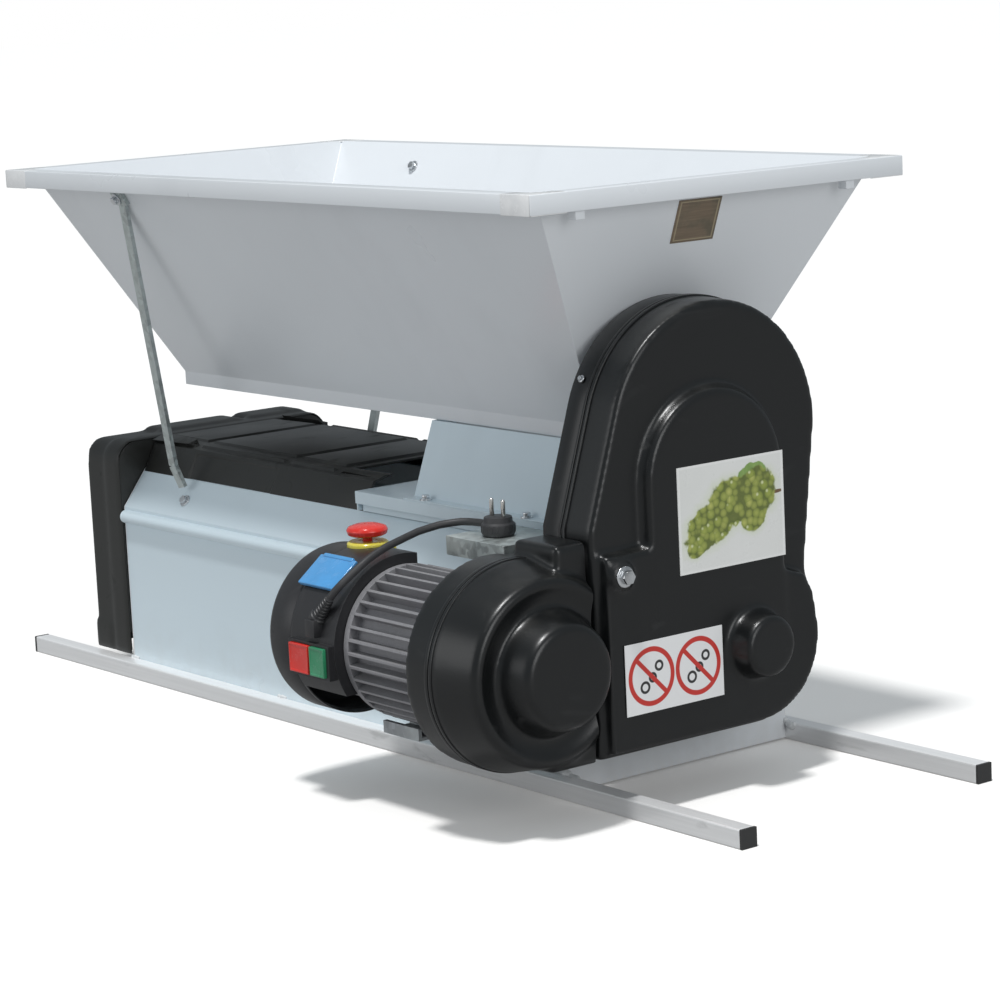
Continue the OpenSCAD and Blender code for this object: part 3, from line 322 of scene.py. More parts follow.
def turned(name, colour, roughness=0.3):
    """Turned metal: fine rings across the axis of rotation, with oil in the hollows."""
    f = Finish(name, roughness, 0.95)
    rings = f.noise(900, 2.0, stretch=(1, 0.04, 0.04))
    oil = f.step(f.noise(38, 5.0), 0.5, 0.72)
    base = f.mix(shade(colour, 0.8), shade(colour, 1.15), rings)
    base = f.mix(base, (0.05, 0.042, 0.035), oil * 0.45)
    f.colour(f.mix(base, shade(colour, 1.4), f.edges(0.5) * 0.5)).rough(roughness + rings * 0.1 - oil * 0.12)
    return f.relief(rings, 0.03, 0.5)


def cast(name, colour, metallic=0.4, roughness=0.55):
    """Sand-cast or die-cast metal under thin paint: pitted skin and worn ridges."""
    f = Finish(name, roughness, metallic)
    pits = f.noise(420, 4.0)
    patch = f.step(f.noise(26, 4.0), 0.4, 0.7)
    base = f.mix(shade(colour, 0.75), shade(colour, 1.2), pits)
    base = f.mix(base, shade(colour, 1.5), patch * 0.2)
    worn = f.edges(0.7) * f.step(f.noise(90, 3.0), 0.4, 0.6)
    base = f.mix(base, (0.42, 0.42, 0.41), worn * 0.7)
    dust = f.upward() * f.step(f.noise(20, 5.0), 0.4, 0.8)
    f.colour(f.mix(base, (0.4, 0.38, 0.34), dust * 0.25)).rough(roughness - 0.1 + pits * 0.2 + patch * 0.1)
    return f.relief(pits, 0.12, 0.6)


def rubber(name, colour, rib=0.0):
    """Rubber or soft flex: matt bloom, fine skin and, where asked, a woven face."""
    f = Finish(name, 0.62)
    bloom = f.step(f.noise(45, 4.0), 0.45, 0.75)
    base = f.mix(shade(colour, 0.8), shade(colour, 1.3), f.noise(140, 3.0))
    f.colour(f.mix(base, shade(colour, 2.4), bloom * 0.3)).rough(0.5 + bloom * 0.22)
    f.relief(f.noise(1100, 2.0), 0.05, 0.6)
    if rib:
        weave = f.cells(rib, feature="F1", distance="CHEBYCHEV", stretch=(1, 0.4, 0.4))
        f.relief(weave, 0.25, 0.5)
    return f


def laminated(name, colour):
    """A stack of core plates: half-millimetre lines across the axis, slightly rusted."""
    f = Finish(name, 0.45, 0.9)
    stack = f.step(f.noise(1400, 0.0, stretch=(1, 0.002, 0.002)), 0.35, 0.65)
    rust = f.step(f.noise(60, 5.0), 0.55, 0.75)
    base = f.mix(shade(colour, 0.5), shade(colour, 1.2), stack)
    f.colour(f.mix(base, (0.25, 0.11, 0.05), rust * 0.5)).rough(0.35 + rust * 0.3)
    return f.relief(stack, 0.12, 0.8)


def aged_plate(name, colour):
    """A blank dark plate: brushed face, tarnish and a raised border line."""
    f = Finish(name, 0.4, 0.6)
    low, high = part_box("rating_plate")
    middle = (low + high) / 2
    _, y, z = f.axes(f.moved(location=tuple(-middle)))
    across = y.size() / ((high.y - low.y) / 2)
    up = z.size() / ((high.z - low.z) / 2)
    border = across.at_least(up)
    line = f.step(border, 0.84, 0.87) * (1 - f.step(border, 0.9, 0.93))
    lines = f.noise(480, 4.0, stretch=(1, 0.04, 1))
    tarnish = f.step(f.noise(50, 5.0), 0.4, 0.7)
    base = f.mix(shade(colour, 0.7), shade(colour, 1.4), lines)
    base = f.mix(base, (0.12, 0.13, 0.1), tarnish * 0.5)
    f.colour(f.mix(base, (0.5, 0.42, 0.28), line * 0.7)).rough(0.3 + tarnish * 0.25)
    return f.relief(line, 0.3, 0.8)


def label_grid(f, node):
    """Across and up on a label, from 0 to 1, with Y across and Z up."""
    low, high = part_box(node)
    flat = f.node("ShaderNodeMapRange", {6: f.place, 7: tuple(low), 8: (high.x + 1, high.y, high.z)},
                  output="Vector", data_type="FLOAT_VECTOR", clamp=False)
    return f.axes(flat)[1:]


def blob(across, up, centre, size, turn):
    """Distance from a turned oval's middle: under 1 inside it."""
    c, s = math.cos(math.radians(turn)), math.sin(math.radians(turn))
    dx = across - centre[0]
    dy = up - centre[1]
    along = (dx * c + dy * s) / size[0]
    over = (dy * c - dx * s) / size[1]
    return (along * along + over * over) ** 0.5


# Grapes along a metre of the label, and how far they stray from a regular grid
BERRIES = 118
BERRY_SCATTER = 0.75
# The ovals that make the bunch, each with its centre, half lengths and turn
BUNCH = (
    ((0.3, 0.42), (0.3, 0.2), 42), ((0.52, 0.6), (0.26, 0.24), 20), ((0.74, 0.66), (0.2, 0.24), 0),
    ((0.18, 0.26), (0.14, 0.1), 60), ((0.7, 0.42), (0.13, 0.15), -20),
)


def grape_picture(name, _colour):
    """A printed sticker with a generic bunch of green grapes on a pale ground."""
    f = Finish(name, 0.28, Coat_Weight=0.5, Coat_Roughness=0.12)
    across, up = label_grid(f, "grape_label")
    wobble = f.noise(90, 3.0) * 0.5
    bunch = None
    for centre, size, turn in BUNCH:
        oval = blob(across, up, centre, size, turn) + wobble
        bunch = oval if bunch is None else bunch.at_most(oval)
    inside = 1 - f.step(bunch, 1.12, 1.24)
    berry = f.cells(BERRIES, stretch=(0, 1, 1), randomness=BERRY_SCATTER)
    glint = f.node("ShaderNodeTexVoronoi", {"Vector": f.moved((0, 0.0022, -0.0026), (0, 1, 1)),
                                            "Scale": BERRIES, "Randomness": BERRY_SCATTER})
    tint = f.axes(f.cells(BERRIES, output="Color", stretch=(0, 1, 1), randomness=BERRY_SCATTER))[0]
    skin = f.mix((0.3, 0.36, 0.06), (0.58, 0.6, 0.16), tint)
    skin = f.mix(skin, (0.17, 0.22, 0.03), f.step(berry, 0.14, 0.6) * 0.65)
    skin = f.mix(skin, (0.07, 0.1, 0.015), f.step(berry, 0.52, 0.74) * 0.7)
    skin = f.mix(skin, (0.78, 0.82, 0.5), (1 - f.step(glint, 0.08, 0.3)) * 0.75)
    leaf = 1 - f.step(blob(across, up, (0.7, 0.84), (0.15, 0.1), 15) + wobble, 1.12, 1.22)
    leaf_skin = f.mix((0.12, 0.25, 0.04), (0.35, 0.5, 0.15), f.noise(150, 4.0, stretch=(1, 1, 0.3)))
    stalk = 1 - f.step(blob(across, up, (0.93, 0.62), (0.07, 0.018), 4), 0.8, 1.1)
    ground = f.mix((0.74, 0.75, 0.72), (0.84, 0.84, 0.82), f.noise(9, 3.0))
    picture = f.mix(ground, (0.62, 0.7, 0.42), (1 - f.step(bunch, 1.0, 1.6)) * 0.5)
    picture = f.mix(picture, leaf_skin, leaf)
    picture = f.mix(picture, (0.16, 0.09, 0.04), stalk)
    picture = f.mix(picture, skin, inside)
    edge = (across - 0.5).size().at_least((up - 0.5).size())
    f.colour(f.mix(picture, (0.86, 0.86, 0.84), f.step(edge, 0.475, 0.48)))
    f.rough(0.22 + f.noise(60, 3.0) * 0.15)
    return f.relief(f.noise(500, 2.0), 0.02, 0.4)


def keep_out_signs(name, colour):
    """A pale sticker with two plain red crossed rings over simple pulley shapes."""
    f = Finish(name, 0.3, Coat_Weight=0.4, Coat_Roughness=0.15)
    low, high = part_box("safety_label")
    across, up = label_grid(f, "safety_label")
    ratio = (high.y - low.y) / (high.z - low.z)
    red = None
    dark = None
    for middle in (0.26, 0.74):
        dx = (across - middle) * ratio
        dy = up - 0.5
        reach = (dx * dx + dy * dy) ** 0.5
        band = 1 - f.step((reach - 0.38).size(), 0.03, 0.042)
        slash = 1 - f.step((dx + dy).size(), 0.04, 0.055)
        slash = slash * (1 - f.step(reach, 0.37, 0.39))
        marks = band.at_least(slash)
        red = marks if red is None else red.at_least(marks)
        for spot, size in (((-0.12, -0.14), 0.07), ((0.02, -0.02), 0.055), ((0.14, 0.13), 0.06)):
            ex = dx - spot[0]
            ey = dy - spot[1]
            shape = 1 - f.step(((ex * ex + ey * ey) ** 0.5 - size).size(), 0.014, 0.024)
            dark = shape if dark is None else dark.at_least(shape)
    ground = f.mix(shade(colour, 0.93), colour, f.noise(12, 3.0))
    picture = f.mix(ground, (0.02, 0.02, 0.02), dark)
    f.colour(f.mix(picture, (0.6, 0.03, 0.02), red)).rough(0.25 + f.noise(60, 3.0) * 0.15)
    return f.relief(f.noise(500, 2.0), 0.02, 0.4)


def weld_metal(name, colour):
    """Weld beads under the paint: rippled, with a little brown at the toes."""
    f = Finish(name, 0.4, Coat_Weight=0.2)
    ripple = f.noise(420, 3.0, stretch=(1, 0.5, 1))
    base = f.mix(shade(colour, 0.75), colour, ripple)
    f.colour(f.mix(base, (0.35, 0.25, 0.15), f.step(f.noise(130, 4.0), 0.6, 0.75) * 0.4))
    f.rough(0.35 + ripple * 0.2)
    return f.relief(ripple, 0.4, 0.8)


FINISHES = {
    "rail_steel": (rail_paint, {}),
    "cap_plastic": (moulded_plastic, {"gloss": 0.5}),
    "white_paint": (powder_coat, {}),
    # A copy of the white paint for the casing, with a painted bluish tint of sky light set in TONES
    "casing_white_painted_sky_tint": (powder_coat, {}),
    "stainless": (brushed, {"roughness": 0.28}),
    "white_plastic": (gloss_plastic, {}),
    "galvanised": (galvanised, {}),
    "zinc_bolts": (turned, {"roughness": 0.24}),
    "brass_plate": (aged_plate, {}),
    "black_cover": (moulded_plastic, {"gloss": 0.34}),
    "charcoal_cover": (moulded_plastic, {"gloss": 0.48, "dust": 0.7}),
    "plate_steel": (galvanised, {}),
    "bearing_iron": (cast, {}),
    "grape_label": (grape_picture, {}),
    "safety_label": (keep_out_signs, {}),
    "belt_rubber": (rubber, {"rib": 700}),
    "motor_grey": (cast, {"metallic": 0.3, "roughness": 0.5}),
    "black_plastic": (moulded_plastic, {"gloss": 0.42}),
    "blue_plastic": (gloss_plastic, {}),
    "yellow_plastic": (gloss_plastic, {}),
    "cord_rubber": (rubber, {}),
    "nickel_pins": (turned, {"roughness": 0.2}),
    "beater_rubber": (rubber, {}),
    "pulley_iron": (turned, {"roughness": 0.42}),
    "shaft_steel": (turned, {"roughness": 0.26}),
    "core_steel": (laminated, {}),
    "roller_aluminium": (brushed, {"roughness": 0.4}),
    "gear_steel": (turned, {"roughness": 0.35}),
    "auger_steel": (brushed, {"roughness": 0.3, "along": 1}),
    "red_plastic": (gloss_plastic, {}),
    "green_plastic": (gloss_plastic, {}),
}
# How much lighter or darker a finish looks than its plain colour, in red, green and blue
TONES = {
    "charcoal_cover": (0.6, 0.6, 0.6),
    "black_cover": (0.4, 0.4, 0.4),
    "rail_steel": (1.5, 1.5, 1.5),
    "motor_grey": (1.9, 1.88, 1.85),
    # Painted sky light: the casing has the hopper's white paint, tinted blue here so that it looks lit by
    # the sky
    "casing_white_painted_sky_tint": (0.92, 1.03, 1.07),
}
COLOURS = {m["slot"]: tuple(m["base_color"]) for m in frame["record"]["materials"]}
# The casing takes the hopper's white paint, which TONES tints with painted blue sky light
COLOURS["casing_white_painted_sky_tint"] = COLOURS["white_paint"]
BRIGHTEST = 0.95
made_finishes = {}


def finish_of(slot):
    """The material of a slot, made once."""
    if slot not in made_finishes:
        maker, options = FINISHES[slot]
        tone = TONES.get(slot, (1, 1, 1))
        colour = tuple(min(c * t, BRIGHTEST) for c, t in zip(COLOURS[slot], tone))
        made_finishes[slot] = maker(slot, colour, **options).material
    return made_finishes[slot]


# ---------- mesh helpers ----------
def publish(bm, name, body, slot, replaces=(), sharp=35, material=None):
    """Turns a bmesh in millimetres into a finished piece that rides on a body."""
    bm.transform(TO_ROW)
    mesh = bpy.data.meshes.new(name)
    bm.to_mesh(mesh)
    bm.free()
    mesh.shade_smooth()
    mesh.set_sharp_from_angle(angle=math.radians(sharp))
    mesh.materials.append(material or finish_of(slot))
    piece = bpy.data.objects.new(name, mesh)
    bpy.context.scene.collection.objects.link(piece)
    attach(piece, body)
    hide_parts(*replaces)
    return piece


def add_block(bm, low, high, turn=None):
    """A block between two corners, turned about its middle when asked."""
    low, high = Vector(low), Vector(high)
    place = Matrix.Translation((low + high) / 2)
    if turn:
        place = place @ turn
    size = high - low
    made = bmesh.ops.create_cube(bm, size=1.0, matrix=place @ Matrix.Diagonal((*size, 1)))
    return made["verts"]


def add_prism(bm, outline, x0, x1, taper=1.0):
    """A shape drawn across Y and Z, carried along X and drawn in by a taper at its end."""
    face = bm.faces.new([bm.verts.new((x0, y, z)) for y, z in outline])
    middle = face.calc_center_bounds()
    grown = bmesh.ops.extrude_face_region(bm, geom=[face])
    verts = [v for v in grown["geom"] if isinstance(v, bmesh.types.BMVert)]
    bmesh.ops.translate(bm, vec=(x1 - x0, 0, 0), verts=verts)
    space = Matrix.Translation(-middle)
    bmesh.ops.scale(bm, vec=(1, taper, taper), space=space, verts=verts)
    return verts


def add_turned(bm, profile, at, steps=64, along=None):
    """A profile of (x, radius) points spun about the line through at, from axis to axis."""
    start = [bm.verts.new((x, 0, r)) for x, r in profile]
    edges = [bm.edges.new(pair) for pair in zip(start, start[1:])]
    bmesh.ops.spin(bm, geom=start + edges, cent=(0, 0, 0), axis=(1, 0, 0), dvec=(0, 0, 0),
                   angle=math.tau, steps=steps, use_merge=True, use_duplicate=False)
    seen = set(start)
    verts = list(start)
    for vert in verts:
        for edge in vert.link_edges:
            beyond = edge.other_vert(vert)
            if beyond not in seen:
                seen.add(beyond)
                verts.append(beyond)
    place = Matrix.Translation((0, at[0], at[1])) if along is None else along
    bmesh.ops.transform(bm, matrix=place, verts=verts)
    bmesh.ops.remove_doubles(bm, verts=verts, dist=1e-4)


def aim(point, direction):
    """Turns the X axis of a turned shape to a direction and stands it on a point."""
    return Matrix.Translation(point) @ Vector(direction).to_track_quat("X", "Z").to_matrix().to_4x4()


def round_edges(bm, width, segments=3, least=30):
    """Rounds every edge sharper than an angle."""
    bmesh.ops.recalc_face_normals(bm, faces=bm.faces)
    limit = math.radians(least)
    sharp = [e for e in bm.edges if len(e.link_faces) == 2 and e.calc_face_angle() > limit]
    bmesh.ops.bevel(bm, geom=sharp, offset=width, offset_type="OFFSET", segments=segments,
                    profile=0.5, affect="EDGES", material=-1, clamp_overlap=True)


def arc(centre, radius, start, end, steps):
    """Points along an arc in the Y and Z plane, angles in degrees from +Y."""
    angles = [math.radians(start + (end - start) * i / steps) for i in range(steps + 1)]
    return [(centre[0] + radius * math.cos(a), centre[1] + radius * math.sin(a)) for a in angles]


def moulded(bm, voxel, passes):
    """Several closed shapes as one soft moulding: remeshed together, then smoothed."""
    rough = bpy.data.meshes.new("moulding_blank")
    bmesh.ops.recalc_face_normals(bm, faces=bm.faces)
    bm.to_mesh(rough)
    bm.free()
    blank = bpy.data.objects.new("moulding_blank", rough)
    bpy.context.scene.collection.objects.link(blank)
    skin = blank.modifiers.new("skin", "REMESH")
    skin.mode = "VOXEL"
    skin.voxel_size = voxel
    soft = blank.modifiers.new("soft", "SMOOTH")
    soft.factor = 0.5
    soft.iterations = passes
    result = bmesh.new()
    result.from_object(blank, bpy.context.evaluated_depsgraph_get())
    bpy.data.objects.remove(blank)
    bpy.data.meshes.remove(rough)
    return result


def open_shell(bm, cuts, wall):
    """Cuts a closed skin open at each (point, normal) and gives what is left a wall."""
    for point, normal in cuts:
        geom = bm.verts[:] + bm.edges[:] + bm.faces[:]
        bmesh.ops.bisect_plane(bm, geom=geom, dist=1e-4, plane_co=point, plane_no=normal,
                               clear_outer=True)
    bmesh.ops.recalc_face_normals(bm, faces=bm.faces)
    thicken(bm, wall)


def thicken(bm, wall):
    """Gives an open skin a wall on its inner side."""
    bmesh.ops.solidify(bm, geom=bm.faces[:], thickness=wall)


def soften(node, width, segments=2, least=32):
    """Rounds a CAD node's edges with modifiers and leaves its mesh alone."""
    piece = NODES[node]
    weld = piece.modifiers.new("weld", "WELD")
    weld.merge_threshold = 2e-6
    edges = piece.modifiers.new("edges", "BEVEL")
    edges.width = width * MM
    edges.segments = segments
    edges.limit_method = "ANGLE"
    edges.angle_limit = math.radians(least)
    edges.miter_outer = "MITER_ARC"
    shading = piece.modifiers.new("shading", "WEIGHTED_NORMAL")
    shading.keep_sharp = True


# ---------- settings ----------
class StageSettings(bpy.types.PropertyGroup):
    """Camera, floor and light."""

    lens: bpy.props.FloatProperty(
        name="Lens", description="Focal length of the camera", default=115.15, min=20, unit="CAMERA")
    azimuth: bpy.props.FloatProperty(
        name="Azimuth", description="Turn of the camera round the machine, in degrees", default=52.6)
    elevation: bpy.props.FloatProperty(
        name="Elevation", description="Height of the view above the horizon, in degrees", default=9.7)
    roll: bpy.props.FloatProperty(
        name="Roll", description="Tilt of the camera about its own line of sight, in degrees",
        default=-2.8)
    position: bpy.props.FloatVectorProperty(
        name="Position", description="Where the camera stands, from the hopper's stem end",
        default=(3.3803, -2.1321, 0.8537), size=3, subtype="TRANSLATION", unit="LENGTH")
    shift: bpy.props.FloatVectorProperty(
        name="Shift", description="Shift of the camera's frame, right and up", default=(0.0106, -0.0023),
        size=2)
    key: bpy.props.FloatProperty(
        name="Key light", description="Strength of the high main light", default=2.2, min=0)
    sky: bpy.props.FloatProperty(
        name="Sky", description="Strength of the even light from all round", default=0.36, min=0)
    floor_colour: bpy.props.FloatVectorProperty(
        name="Floor colour", description="Colour of the studio floor", default=(1.0, 0.985, 0.965),
        size=3, subtype="COLOR", min=0, max=1)


class CoverSettings(bpy.types.PropertyGroup):
    """Moulded plastic covers."""

    wall: bpy.props.FloatProperty(
        name="Wall", description="Wall of the moulded covers, in millimetres", default=3.0, min=1)
    grid: bpy.props.FloatProperty(
        name="Grid", description="Mesh size of the moulded skins, in millimetres", default=3.0, min=1)
    softness: bpy.props.IntProperty(
        name="Softness", description="Smoothing passes that round the mouldings", default=7, min=0)
    draft: bpy.props.FloatProperty(
        name="Draft", description="Size of a moulding's face as a share of its back", default=0.992,
        min=0.9, max=1.0, subtype="FACTOR")


class SheetSettings(bpy.types.PropertyGroup):
    """Hopper and casing sheet."""

    sheet: bpy.props.FloatProperty(
        name="Sheet", description="Thickness of the sheet steel, in millimetres", default=2.0, min=0.5)
    bend: bpy.props.FloatProperty(
        name="Bend", description="Radius of the folded edges, in millimetres", default=0.8, min=0.2)


class CordSettings(bpy.types.PropertyGroup):
    """Power cord."""

    diameter: bpy.props.FloatProperty(
        name="Diameter", description="Diameter of the power cord", default=0.008, unit="LENGTH")


# ---------- operators ----------
# The stage, in metres: half the floor's side, its own glow and the colour that it throws back
FLOOR_HALF = 30
FLOOR_GLOW = 0.07
FLOOR_BOUNCE = (0.3, 0.3, 0.3)
KEY_DIRECTION = (-0.12, 0.24, -1)
# Each round lamp's name, place and power in watts, and the point that both light
LAMPS = (("side", (4.6, -0.6, 1.7), 52), ("front", (-1.6, -4.4, 1.6), 26))
LAMP_SIZE = 2.6
LAMP_TARGET = (0.1, 0, 0.3)


class CRUSHER_OT_stage(bpy.types.Operator):
    """Sets up the camera, a pale floor and soft studio light"""

    bl_idname = "crusher.stage"
    bl_label = "Stage"

    def execute(self, context):
        settings = context.scene.crusher_stage
        a, e, roll = (math.radians(v) for v in (settings.azimuth, settings.elevation, settings.roll))
        back = Vector((math.sin(a) * math.cos(e), -math.cos(a) * math.cos(e), math.sin(e)))
        right = Vector((math.cos(a), math.sin(a), 0))
        up = back.cross(right)
        turned_right = right * math.cos(roll) + up * math.sin(roll)
        turned_up = up * math.cos(roll) - right * math.sin(roll)
        camera = bpy.data.objects.new("camera", bpy.data.cameras.new("camera"))
        camera.data.lens = settings.lens
        camera.data.sensor_width = 36
        camera.data.shift_x, camera.data.shift_y = settings.shift
        camera.data.clip_end = 100
        rotation = Matrix((turned_right, turned_up, back)).transposed().to_4x4()
        camera.matrix_world = Matrix.Translation(ORIGIN + Vector(settings.position)) @ rotation
        context.scene.collection.objects.link(camera)
        context.scene.camera = camera

        bm = bmesh.new()
        bmesh.ops.create_grid(bm, x_segments=2, y_segments=2, size=FLOOR_HALF)
        mesh = bpy.data.meshes.new("floor")
        bm.to_mesh(mesh)
        bm.free()
        floor = bpy.data.objects.new("floor", mesh)
        context.scene.collection.objects.link(floor)
        paper = Finish("floor_paper", 0.85, Emission_Color=(1, 0.98, 0.96, 1),
                       Emission_Strength=FLOOR_GLOW)
        pale = tuple(settings.floor_colour)
        seen = paper.mix(shade(pale, 0.985), pale, paper.noise(3, 3.0))
        paper.colour(paper.mix(FLOOR_BOUNCE, seen, paper.node("ShaderNodeLightPath")))
        mesh.materials.append(paper.material)

        world = bpy.data.worlds.new("studio")
        context.scene.world = world
        world.use_nodes = True
        tree = world.node_tree
        path = tree.nodes.new("ShaderNodeLightPath")
        sky = tree.nodes["Background"]
        sky.inputs["Color"].default_value = (0.86, 0.94, 1.0, 1)
        sky.inputs["Strength"].default_value = settings.sky
        backdrop = tree.nodes.new("ShaderNodeBackground")
        backdrop.inputs["Color"].default_value = (1, 1, 1, 1)
        either = tree.nodes.new("ShaderNodeMixShader")
        tree.links.new(path.outputs["Is Camera Ray"], either.inputs[0])
        tree.links.new(sky.outputs[0], either.inputs[1])
        tree.links.new(backdrop.outputs[0], either.inputs[2])
        tree.links.new(either.outputs[0], tree.nodes["World Output"].inputs["Surface"])
        context.scene.view_settings.view_transform = "Standard"
        sun = bpy.data.objects.new("key", bpy.data.lights.new("key", "SUN"))
        sun.data.energy = settings.key
        sun.data.angle = math.radians(7)
        sun.rotation_mode = "QUATERNION"
        sun.rotation_quaternion = Vector(KEY_DIRECTION).to_track_quat("-Z", "Y")
        context.scene.collection.objects.link(sun)
        for name, place, power in LAMPS:
            lamp = bpy.data.objects.new(name, bpy.data.lights.new(name, "AREA"))
            lamp.data.shape = "DISK"
            lamp.data.size = LAMP_SIZE
            lamp.data.energy = power
            lamp.location = place
            lamp.rotation_mode = "QUATERNION"
            aimed = Vector(LAMP_TARGET) - Vector(place)
            lamp.rotation_quaternion = aimed.to_track_quat("-Z", "Y")
            context.scene.collection.objects.link(lamp)
        return {"FINISHED"}


# The route of the cord, from the gland to the plug, repeated from the CAD model
CORD_ROUTE = [
    (751, -342, 203), (757, -342, 209), (763, -340, 217), (768, -336, 225), (771, -329, 232),
    (773, -320, 239), (774, -309, 246), (773, -297, 252), (772, -284, 257), (771, -271, 261),
    (770, -257, 264), (769, -243, 267), (769, -230, 270), (771, -218, 272), (774, -206, 274),
    (779, -196, 275), (786, -187, 276), (796, -181, 276), (808, -178, 276), (819, -178, 276),
]


class CRUSHER_OT_cord(bpy.types.Operator):
    """Lays the power cord from its gland to the plug that stands on the motor bracket"""

    bl_idname = "crusher.cord"
    bl_label = "Power cord"

    def execute(self, context):
        diameter = context.scene.crusher_cord.diameter
        points = [ORIGIN + Vector(p) * MM for p in CORD_ROUTE]
        curve = bpy.data.curves.new("power_flex", "CURVE")
        curve.dimensions = "3D"
        curve.bevel_depth = diameter / 2
        curve.bevel_resolution = 4
        curve.use_fill_caps = True
        spline = curve.splines.new("POLY")
        spline.points.add(len(points) - 1)
        for target, point in zip(spline.points, points):
            target.co = (*point, 1)
        curve.materials.append(finish_of("cord_rubber"))
        flex = bpy.data.objects.new("power_flex", curve)
        context.scene.collection.objects.link(flex)
        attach(flex, "frame")
        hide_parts("power_cord")
        plug = make_plug()
        pins = make_plug_pins()
        nose = make_strain_relief()
        return {"FINISHED"}


def make_plug():
    """Round mains plug with a grip of raised ribs and a cord collar."""
    low, high = span("plug_body")
    middle = ((low.x + high.x) / 2, (low.y + high.y) / 2)
    radius = (high.x - low.x) / 2
    height = high.z - low.z
    bm = bmesh.new()
    profile = [(0, 0), (0, radius * 0.86), (height * 0.18, radius * 0.98), (height * 0.62, radius * 0.98),
               (height * 0.72, radius * 0.84), (height, radius * 0.8), (height, 0)]
    up = aim((middle[0], middle[1], low.z), (0, 0, 1))
    add_turned(bm, profile, (0, 0), steps=40, along=up)
    ribs, rib_half = 18, 1.1
    stand = Matrix.Translation((middle[0], middle[1], low.z))
    for i in range(ribs):
        turn = Matrix.Rotation(math.tau * i / ribs, 4, "Z")
        verts = add_block(bm, (radius * 0.9, -rib_half, height * 0.2), (radius, rib_half, height * 0.6))
        bmesh.ops.transform(bm, matrix=stand @ turn, verts=verts)
    for side in (-1, 1):
        add_block(bm, (middle[0] + side * radius * 0.5 - 3, middle[1] - 7, high.z - 4),
                  (middle[0] + side * radius * 0.5 + 3, middle[1] + 7, high.z - 0.3))
    round_edges(bm, 0.7, 2)
    collar = [(0, 0), (0, 6.2), (7, 5.6), (14, 5.0), (14, 0)]
    add_turned(bm, collar, (0, 0), steps=24,
               along=aim((low.x + 14, middle[1], low.z + 10), (-1, 0, 0)))
    return publish(bm, "mains_plug", "frame", "cord_rubber", ["plug_body"])


def make_plug_pins():
    """Two round pins with domed ends and plastic sleeves."""
    low, high = span("plug_pins")
    radius = (high.y - low.y) / 2
    bm = bmesh.new()
    for x in (low.x + radius, high.x - radius):
        profile = [(0, 0), (0, radius), (high.z - low.z - 1.5, radius), (high.z - low.z, radius * 0.45),
                   (high.z - low.z, 0)]
        add_turned(bm, profile, (0, 0), steps=20, along=aim((x, low.y + radius, low.z), (0, 0, 1)))
    round_edges(bm, 0.4, 2)
    return publish(bm, "mains_plug_pins", "frame", "nickel_pins", ["plug_pins"])


def make_strain_relief():
    """Ribbed, tapered cord sleeve that leans out of the switch box."""
    start = Vector(CORD_ROUTE[0])
    direction = (Vector(CORD_ROUTE[1]) - start).normalized()
    bm = bmesh.new()
    profile = [(-14, 0), (-14, 9.5), (-8, 9.5), (-7, 7.6)]
    rings, pitch, narrowing = 6, 4.4, 0.42
    for i in range(rings):
        x = -6.5 + i * pitch
        r = 7.4 - i * narrowing
        profile += [(x, r), (x + 2.4, r - 0.1), (x + 2.9, r - 1.5), (x + 3.9, r - 1.5)]
    profile += [(20.5, 4.6), (20.5, 0)]
    add_turned(bm, profile, (0, 0), steps=28, along=aim(start, direction))
    low, high = span("cable_gland")
    add_block(bm, (low.x + 2, -353, 176), (high.x - 6, -330, 194))
    round_edges(bm, 0.6, 2)
    return publish(bm, "cord_strain_relief", "frame", "black_plastic", ["cable_gland"])


def cover_outline(inset=0.0):
    """Outline of the belt cover: a tall arch over the rollers and a round low corner."""
    left = BACK_LOW.y + inset
    radius = ARCH_R - inset
    reach = math.hypot(left - ARCH[0], SHOULDER_Z - ARCH[1])
    start = math.degrees(math.atan2(SHOULDER_Z - ARCH[1], left - ARCH[0]))
    start = start % 360 - math.degrees(math.acos(radius / reach))
    points = [(left, BACK_LOW.z + inset), (left, SHOULDER_Z)]
    points += arc(ARCH, radius, start, 0, 40)
    points += [(NOTCH[0] - inset, NOTCH[1] + 6), (LOW_SHOULDER[0] - inset, LOW_SHOULDER[1])]
    return points + arc(LOW_ARC, LOW_R - inset, 12, -90, 20)


def circle(centre, radius, steps=48):
    return arc(centre, radius, 0, 360 - 360 / steps, steps - 1)


